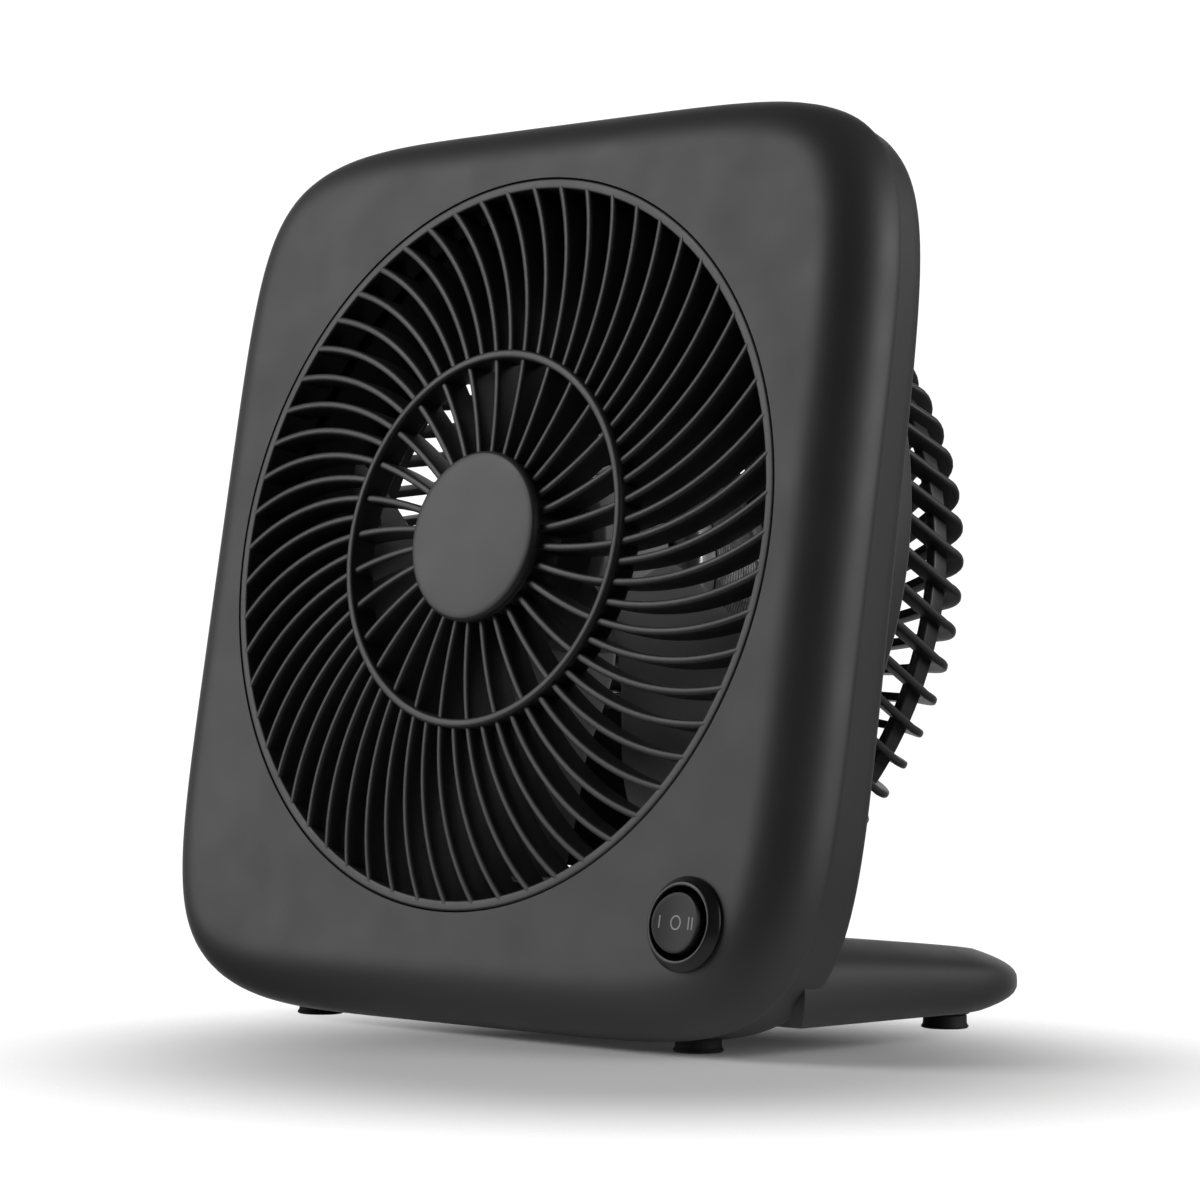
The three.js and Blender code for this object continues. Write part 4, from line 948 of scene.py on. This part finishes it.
root = IMPELLER_HUB - 1.5
radii = [root + (79 - root) * i / 20 for i in range(21)] + [80.2, 81.3, 82.2, 82.8, IMPELLER_RADIUS]
blades = draft("impeller_blades", loft([blade_ring(radius) for radius in radii]))
run_tree(blades, AROUND, Copies=5, Turn=math.radians(72), Start=0.0, Material=impeller_plastic)
bore = SHAFT_RADIUS + GAP
impeller_hub = softened([
    (bore, IMPELLER_FRONT + 3), (7, IMPELLER_FRONT + 3), (7.5, IMPELLER_FRONT + 1.5),
    (IMPELLER_HUB - 3, IMPELLER_FRONT), (IMPELLER_HUB, IMPELLER_FRONT + 2.4), (IMPELLER_HUB, IMPELLER_BACK),
    (IMPELLER_HUB - 2, IMPELLER_BACK), (IMPELLER_HUB - 2, IMPELLER_FRONT + 3.5), (7, IMPELLER_FRONT + 5),
    (7, IMPELLER_BACK - 1), (bore, IMPELLER_BACK - 1),
], 0.7)
impeller = merged(draft("impeller_hub", turned(impeller_hub, 96)), blades)
impeller.name = "impeller_wheel"
settle(impeller, HEAD, impeller_plastic, "impeller_plastic", ROTOR, "impeller", corner=45)

# %% [markdown]
# ## The motor
# The motor is a stack of steel sheets between two drawn cups, with copper windings that bulge out at both
# ends. The cups have vents, cut by one ring of slots made with the same tree that turns the ribs.

# %% Motor
BEARING_RADIUS, BEARING_LENGTH = 6.5, 5.0
VENT_INNER, VENT_OUTER, VENT_HALF_WIDTH = 13.0, 23.0, 1.6
WINDING_INNER, WINDING_OUTER, WINDING_BULGE = 17.5, 23.0, 24.2
shaft_hole = SHAFT_RADIUS + 2 * GAP


def motor_cover(name, node, lip, facing):
    floor = lip + facing * COVER_LENGTH
    face = floor + facing * COVER_WALL
    seat_end = floor - facing * BEARING_LENGTH
    pocket = BEARING_RADIUS + GAP
    cup = softened([
        (shaft_hole, face), (STATOR_RADIUS - 2.5, face), (STATOR_RADIUS, face - facing * 2.5),
        (STATOR_RADIUS, lip), (STATOR_RADIUS - COVER_WALL, lip), (STATOR_RADIUS - COVER_WALL, floor),
        (pocket + COVER_WALL, floor), (pocket + COVER_WALL, seat_end), (pocket, seat_end),
        (pocket, floor), (shaft_hole, floor),
    ], 0.8)
    cover_draft = draft(name, turned(cup, 96))
    slots = draft("slots", block((VENT_INNER, min(floor, face) - 1, -VENT_HALF_WIDTH),
                                 (VENT_OUTER, max(floor, face) + 1, VENT_HALF_WIDTH)))
    run_tree(slots, AROUND, Copies=12, Turn=math.radians(30), Start=math.radians(15), Material=zinc)
    cut(cover_draft, shape_of(slots))
    bpy.data.objects.remove(slots)
    return settle(cover_draft, HEAD, zinc, "zinc_steel", FAN_BODY, node)


motor_cover("front_motor_cup", "motor_front_cover", STATOR_FRONT - GAP, -1)
motor_cover("rear_motor_cup", "motor_rear_cover", STATOR_BACK + GAP, 1)
stack = softened(ring_outline(ROTOR_RADIUS + 0.7, STATOR_RADIUS, STATOR_FRONT, STATOR_BACK), 0.3)
stator_stack = draft("stator_stack", turned(stack, 96))
settle(stator_stack, HEAD, lamination_steel, "silicon_steel", FAN_BODY, "stator_core")
for name, node, front in (
    ("front_coil", "front_winding", STATOR_FRONT - GAP - WINDING_LENGTH),
    ("rear_coil", "rear_winding", STATOR_BACK + GAP),
):
    back = front + WINDING_LENGTH
    coil = softened([
        (WINDING_INNER, front), (WINDING_OUTER, front), (WINDING_BULGE, (front + back) / 2),
        (WINDING_OUTER, back), (WINDING_INNER, back),
    ], 2.0, 5)
    settle(draft(name, turned(coil, 96)), HEAD, copper, "copper_winding", FAN_BODY, node)
MOTOR_FRONT = STATOR_FRONT - GAP - COVER_LENGTH - COVER_WALL
for name, node, front in (
    ("front_bush", "front_bearing", MOTOR_FRONT + COVER_WALL + GAP),
    ("rear_bush", "rear_bearing", MOTOR_BACK - COVER_WALL - BEARING_LENGTH + GAP),
):
    back = front + BEARING_LENGTH - 2 * GAP
    bush = softened(ring_outline(SHAFT_RADIUS + GAP, BEARING_RADIUS, front, back), 0.4)
    settle(draft(name, turned(bush, 48)), HEAD, bronze, "sintered_bronze", FAN_BODY, node)
shaft = softened(ring_outline(0, SHAFT_RADIUS, IMPELLER_FRONT + 0.5, MOTOR_BACK - COVER_WALL), 0.5)
settle(draft("shaft_rod", turned(shaft, 48)), HEAD, zinc, "zinc_steel", ROTOR, "motor_shaft")
clip = softened(ring_outline(bore, SHAFT_RADIUS + 3, IMPELLER_FRONT + 1.4, IMPELLER_FRONT + 3 - GAP), 0.3)
settle(draft("shaft_clip", turned(clip, 48)), HEAD, zinc, "zinc_steel", ROTOR, "impeller_clip")
rotor = softened(ring_outline(bore, ROTOR_RADIUS, STATOR_FRONT + 0.5, STATOR_BACK - 0.5), 0.3)
settle(draft("rotor_stack", turned(rotor, 64)), HEAD, lamination_steel, "silicon_steel", ROTOR, "rotor_core")

# %% [markdown]
# A black channel below the motor hides its lead. It is a box with one side open to the back.

# %% Wiring channel and gland
DUCT_FRONT, DUCT_WALL = 60.0, 2.0
duct_back, duct_top, duct_low = plate_front - GAP, -(STATOR_RADIUS + 3), -(basket_inner - 9)
channel = draft("wiring_channel", block((-DUCT_HALF_WIDTH, DUCT_FRONT, duct_low),
                                        (DUCT_HALF_WIDTH, duct_back, duct_top)))
channel_inside = DUCT_HALF_WIDTH - DUCT_WALL
cut(channel, block((-channel_inside, DUCT_FRONT + DUCT_WALL, duct_low + DUCT_WALL),
                   (channel_inside, duct_back + 5, duct_top + 5)))
cut(channel, block((-3, DUCT_FRONT + 6, duct_low - 5), (3, DUCT_FRONT + 16, duct_low + 5)))
bevelled(channel, 0.5, 2)
settle(channel, HEAD, black_plastic, "black_plastic", FAN_BODY, "wire_duct")
wall = BACK_DEPTH - BACK_LEAN * gland_place[1]
gland = softened([
    (2.8, wall - 5.5), (5, wall - 5.5), (5, wall + 0.4), (7.5, wall + 0.4), (7.5, wall + 1.6),
    (5.6, wall + 2.4), (4.2, wall + 7.4), (2.8, wall + 7.4),
], 0.5)
inlet_gland = draft("inlet_gland", turned(gland, 64, *gland_place))
settle(inlet_gland, HEAD, black_plastic, "black_plastic", FAN_BODY, "cord_gland")

# %% [markdown]
# ## The switch
# A round rocker sits in a black bezel with sloping shoulders. Its face is hollowed a little from side to
# side, so a finger finds the middle. The three marks are thin strips laid on the face, and they turn with
# the rocker.

# %% Switch
BEZEL_RADIUS, BEZEL_PROUD, SWITCH_DEPTH, ROCKER_WELL, ROCKER_RADIUS = 11.7, 3.0, 15.0, 8.9, 7.4
bezel = softened([
    (0, SWITCH_DEPTH), (SWITCH_BARREL, SWITCH_DEPTH), (SWITCH_BARREL, -GAP), (BEZEL_RADIUS, -GAP),
    (BEZEL_RADIUS - 0.1, -0.9), (ROCKER_WELL + 1.0, -BEZEL_PROUD), (ROCKER_WELL + 0.2, -BEZEL_PROUD),
    (ROCKER_WELL, -BEZEL_PROUD + 0.5), (ROCKER_WELL, SWITCH_DEPTH - 4), (0, SWITCH_DEPTH - 4),
], 0.35)
switch_bezel = draft("switch_bezel", turned(bezel, 96))
settle(switch_bezel, SWITCH, switch_plastic, "switch_plastic", FAN_BODY, "switch_housing")
ROCKER_FACE, HOLLOW = -4.4, 0.7


def rocker_depth(x):
    return ROCKER_FACE + HOLLOW * (1 - (x / ROCKER_RADIUS) ** 2)


face_rings = [(ROCKER_RADIUS * t, ROCKER_FACE) for t in (0.0, 0.15, 0.3, 0.45, 0.6, 0.75, 0.88, 0.95)]
rocker_outline = [
    *face_rings, (ROCKER_RADIUS - 0.1, ROCKER_FACE + 0.1), (ROCKER_RADIUS, ROCKER_FACE + 0.4),
    (ROCKER_RADIUS, 4.0), (5.0, 7.0), (0.0, 7.0),
]
rocker_points, rocker_faces = turned(rocker_outline, 72)
rocker_points = [
    (x, rocker_depth(x) + (depth - ROCKER_FACE) if depth < 0 else depth, up) for x, depth, up in rocker_points
]
rocker_cap = draft("rocker_cap", (rocker_points, rocker_faces))
settle(rocker_cap, SWITCH, rocker_plastic, "switch_plastic", ROCKER, "switch_rocker")


def stroke(line, width=0.42, thickness=0.12):
    """A thin strip that follows a closed or open line of (x, up) on the rocker's face."""
    rings = []
    for i, (x, up) in enumerate(line):
        before, after = Vector(line[max(0, i - 1)]), Vector(line[min(len(line) - 1, i + 1)])
        way = (after - before).normalized()
        side = Vector((-way.y, way.x)) * width / 2
        left, right = Vector((x, up)) + side, Vector((x, up)) - side
        rings.append([
            (edge.x, rocker_depth(edge.x) + below, edge.y)
            for edge, below in ((left, -0.04), (right, -0.04), (right, thickness), (left, thickness))
        ])
    return loft(rings)


MARK_REACH, MARK_HALF = 5.0, 1.5
circle = [(1.5 * math.sin(a), 1.6 * math.cos(a)) for a in (math.radians(10 * step) for step in range(37))]
marks = draft(
    "switch_marks", stroke([(-MARK_REACH, -MARK_HALF), (-MARK_REACH, MARK_HALF)]), stroke(circle),
    stroke([(MARK_REACH - 0.65, -MARK_HALF), (MARK_REACH - 0.65, MARK_HALF)]),
    stroke([(MARK_REACH + 0.65, -MARK_HALF), (MARK_REACH + 0.65, MARK_HALF)]),
)
settle(marks, SWITCH, mark_paint, "switch_plastic", ROCKER)

# %% [markdown]
# ## Screws
# One pan-head screw with a cross recess is drawn, and the tree seats it on a mesh that is only points. The
# screws in the base point up, so they have a copy of their own that is turned over first.

# %% Screws
SHANK, SCREW_HEAD, HEAD_HEIGHT = 1.5, 3.1, 1.8


def screw_draft(name, length):
    outline = softened([
        (0, -length), (SHANK, 1 - length), (SHANK, 0), (SCREW_HEAD, 0), (SCREW_HEAD, 0.8),
        (SCREW_HEAD * 0.7, HEAD_HEIGHT), (0, HEAD_HEIGHT),
    ], 0.5)
    screw = draft(name, turned(outline, 24))
    for size in ((1.9, 0.28), (0.28, 1.9)):
        cut(screw, block((-size[0], HEAD_HEIGHT - 1.1, -size[1]), (size[0], HEAD_HEIGHT + 1, size[1])))
    return screw


def seated(name, screw, places, place, node):
    """Sets the screw at four places, for the four CAD nodes of that name."""
    points = draft(name, (places, []))
    run_tree(points, SEATED, Piece=screw, Scale=1.0, Material=zinc)
    bpy.data.objects.remove(screw)
    nodes = [f"{node}_{i}" for i in range(1, 5)]
    return settle(points, place, zinc, "zinc_steel", FAN_BODY, *nodes, corner=30)


def screws(name, length, depth, places, node):
    """Four screws that point forwards, with their heads at one depth."""
    return seated(name, screw_draft("screw", length), [(x, depth, up) for x, up in places], HEAD, node)


ear_seat = ear_back + GAP
screws("grille_screws", 7.3, RIM_DEPTH + GAP, at_corners(RIM_RADIUS + 9), "grille_screw")
screws("housing_screws", 17.3, SCREW_SEAT + GAP, screw_places, "housing_screw")
screws("basket_screws", 10.4, ear_seat, at_corners(BASKET_RADIUS + 8), "rear_grille_screw")
screws("motor_screws", 41.5, plate_front + 3 + GAP, motor_screw_places, "motor_screw")
base_screw = screw_draft("screw", 9.4)
base_screw.data.transform(Matrix.Rotation(math.radians(-90), 4, "X"))
base_seats = [(x, y, UNDERSIDE + 1.6) for x, y in base_screw_places]
seated("base_screws", base_screw, base_seats, BASE, "base_screw")

# %% [markdown]
# The leads and the switch's terminals lie inside the shells. Their CAD bodies already have the right shape,
# so they only get their finish.

# %% Finishes on the CAD bodies that stay
for name, material in {
    "motor_lead": sleeve, "supply_lead": sleeve, **{f"switch_terminal_{i}": zinc for i in (1, 2, 3)},
}.items():
    mesh = frame["nodes"][name].data
    mesh.materials.clear()
    mesh.materials.append(material)
print("finished the CAD bodies that stay")

# %% [markdown]
# ## Floor and light
# The fan stands on a plain pale floor that the lamps light, and it fades away a little beyond the fan. The
# grey of the floor that is left round the fan is partly the fan's real shadow and partly a painted shadow,
# since the fade sets its outline and not the fan. Two large soft lights on the left, one high and one low,
# light the face evenly. A third on the right lights the side, a weak one behind lifts the basket, and the
# dark between the left and the right draws the line of the rounded edge. The world is bright only on the side
# that the camera looks towards, as a white backdrop in a dark studio is, so views from other sides have a
# grey or a dark background.

# %% Floor
floor_mesh = bpy.data.meshes.new("floor")
FLOOR = 6.0
floor_corners = [(-FLOOR, -FLOOR, 0), (FLOOR, -FLOOR, 0), (FLOOR, FLOOR, 0), (-FLOOR, FLOOR, 0)]
floor_mesh.from_pydata(floor_corners, [], [(0, 1, 2, 3)])
floor = bpy.data.objects.new("floor", floor_mesh)
bpy.context.scene.collection.objects.link(floor)
floor_finish = Finish("pale_floor", Roughness=0.9)
pale = floor_finish.mix(floor_finish.noise(3), (0.86, 0.86, 0.86, 1), (0.9, 0.9, 0.9, 1))
floor_finish.set(Base_Color=pale, Emission_Color=(1, 1, 1, 1), Emission_Strength=0.02)
# Painted shadow: away from this spot in front of the fan the floor turns clear and shows the bright world, so
# the grey lamp-lit floor kept round it stands as a shadow whose outline this fade draws.
PAINTED_SHADOW_MIDDLE, PAINTED_SHADOW_REACH = (0.07, -0.07, 0), (0.06, 0.19)
away = floor_finish.add("ShaderNodeVectorMath", {"operation": "DISTANCE"},
                        {0: floor_finish.place, 1: PAINTED_SHADOW_MIDDLE})
fade = Value(floor_finish, away.outputs["Value"]).above(*PAINTED_SHADOW_REACH)
clear = floor_finish.add("ShaderNodeBsdfTransparent")
blend = floor_finish.add("ShaderNodeMixShader", {}, {"Fac": fade})
floor_finish.links.new(floor_finish.shader.outputs[0], blend.inputs[1])
floor_finish.links.new(clear.outputs[0], blend.inputs[2])
floor_finish.links.new(blend.outputs[0], floor_finish.nodes["Material Output"].inputs["Surface"])
floor_mesh.materials.append(floor_finish.material)


# %% Lights
def soft_light(name, place, size, power, target=(0, 0, 0.12)):
    lamp = bpy.data.lights.new(name, "AREA")
    lamp.size = size
    lamp.energy = power
    obj = bpy.data.objects.new(name, lamp)
    obj.location = place
    obj.rotation_euler = (Vector(target) - Vector(place)).to_track_quat("-Z", "Y").to_euler()
    bpy.context.scene.collection.objects.link(obj)
    print(name, power, "W")


soft_light("high_face_light", (-1.4, -1.6, 1.5), 1.2, 22)
soft_light("low_face_light", (-1.8, -1.5, 0.4), 1.2, 13)
soft_light("side_light", (1.6, 0.5, 0.6), 1.0, 16)
soft_light("back_light", (1.0, 1.5, 0.9), 1.0, 3)

world = bpy.data.worlds.new("studio")
bpy.context.scene.world = world
world.use_nodes = True
sky = world.node_tree
sky.nodes.clear()
direction = sky.nodes.new("ShaderNodeTexCoord")
behind = sky.nodes.new("ShaderNodeVectorMath")
behind.operation = "DOT_PRODUCT"
behind.inputs[1].default_value = tuple(-camera_back)
share = sky.nodes.new("ShaderNodeValToRGB")
share.color_ramp.interpolation = "EASE"
STUDIO = ((0.0, 0.02), (0.6, 0.04), (0.88, 0.1), (0.975, 1.0))
while len(share.color_ramp.elements) < len(STUDIO):
    share.color_ramp.elements.new(0.5)
for element, (position, level) in zip(share.color_ramp.elements, STUDIO):
    element.position = position
    element.color = (level, level, level, 1)
scaled = sky.nodes.new("ShaderNodeMath")
scaled.operation = "MULTIPLY_ADD"
scaled.inputs[1].default_value = 0.5
scaled.inputs[2].default_value = 0.5
glow = sky.nodes.new("ShaderNodeBackground")
glow.inputs["Strength"].default_value = 1.1
out = sky.nodes.new("ShaderNodeOutputWorld")
sky.links.new(direction.outputs["Generated"], behind.inputs[0])
sky.links.new(behind.outputs["Value"], scaled.inputs[0])
sky.links.new(scaled.outputs[0], share.inputs["Fac"])
sky.links.new(share.outputs["Color"], glow.inputs["Color"])
sky.links.new(glow.outputs[0], out.inputs["Surface"])
bpy.context.scene.view_settings.view_transform = "Standard"
print("world set")
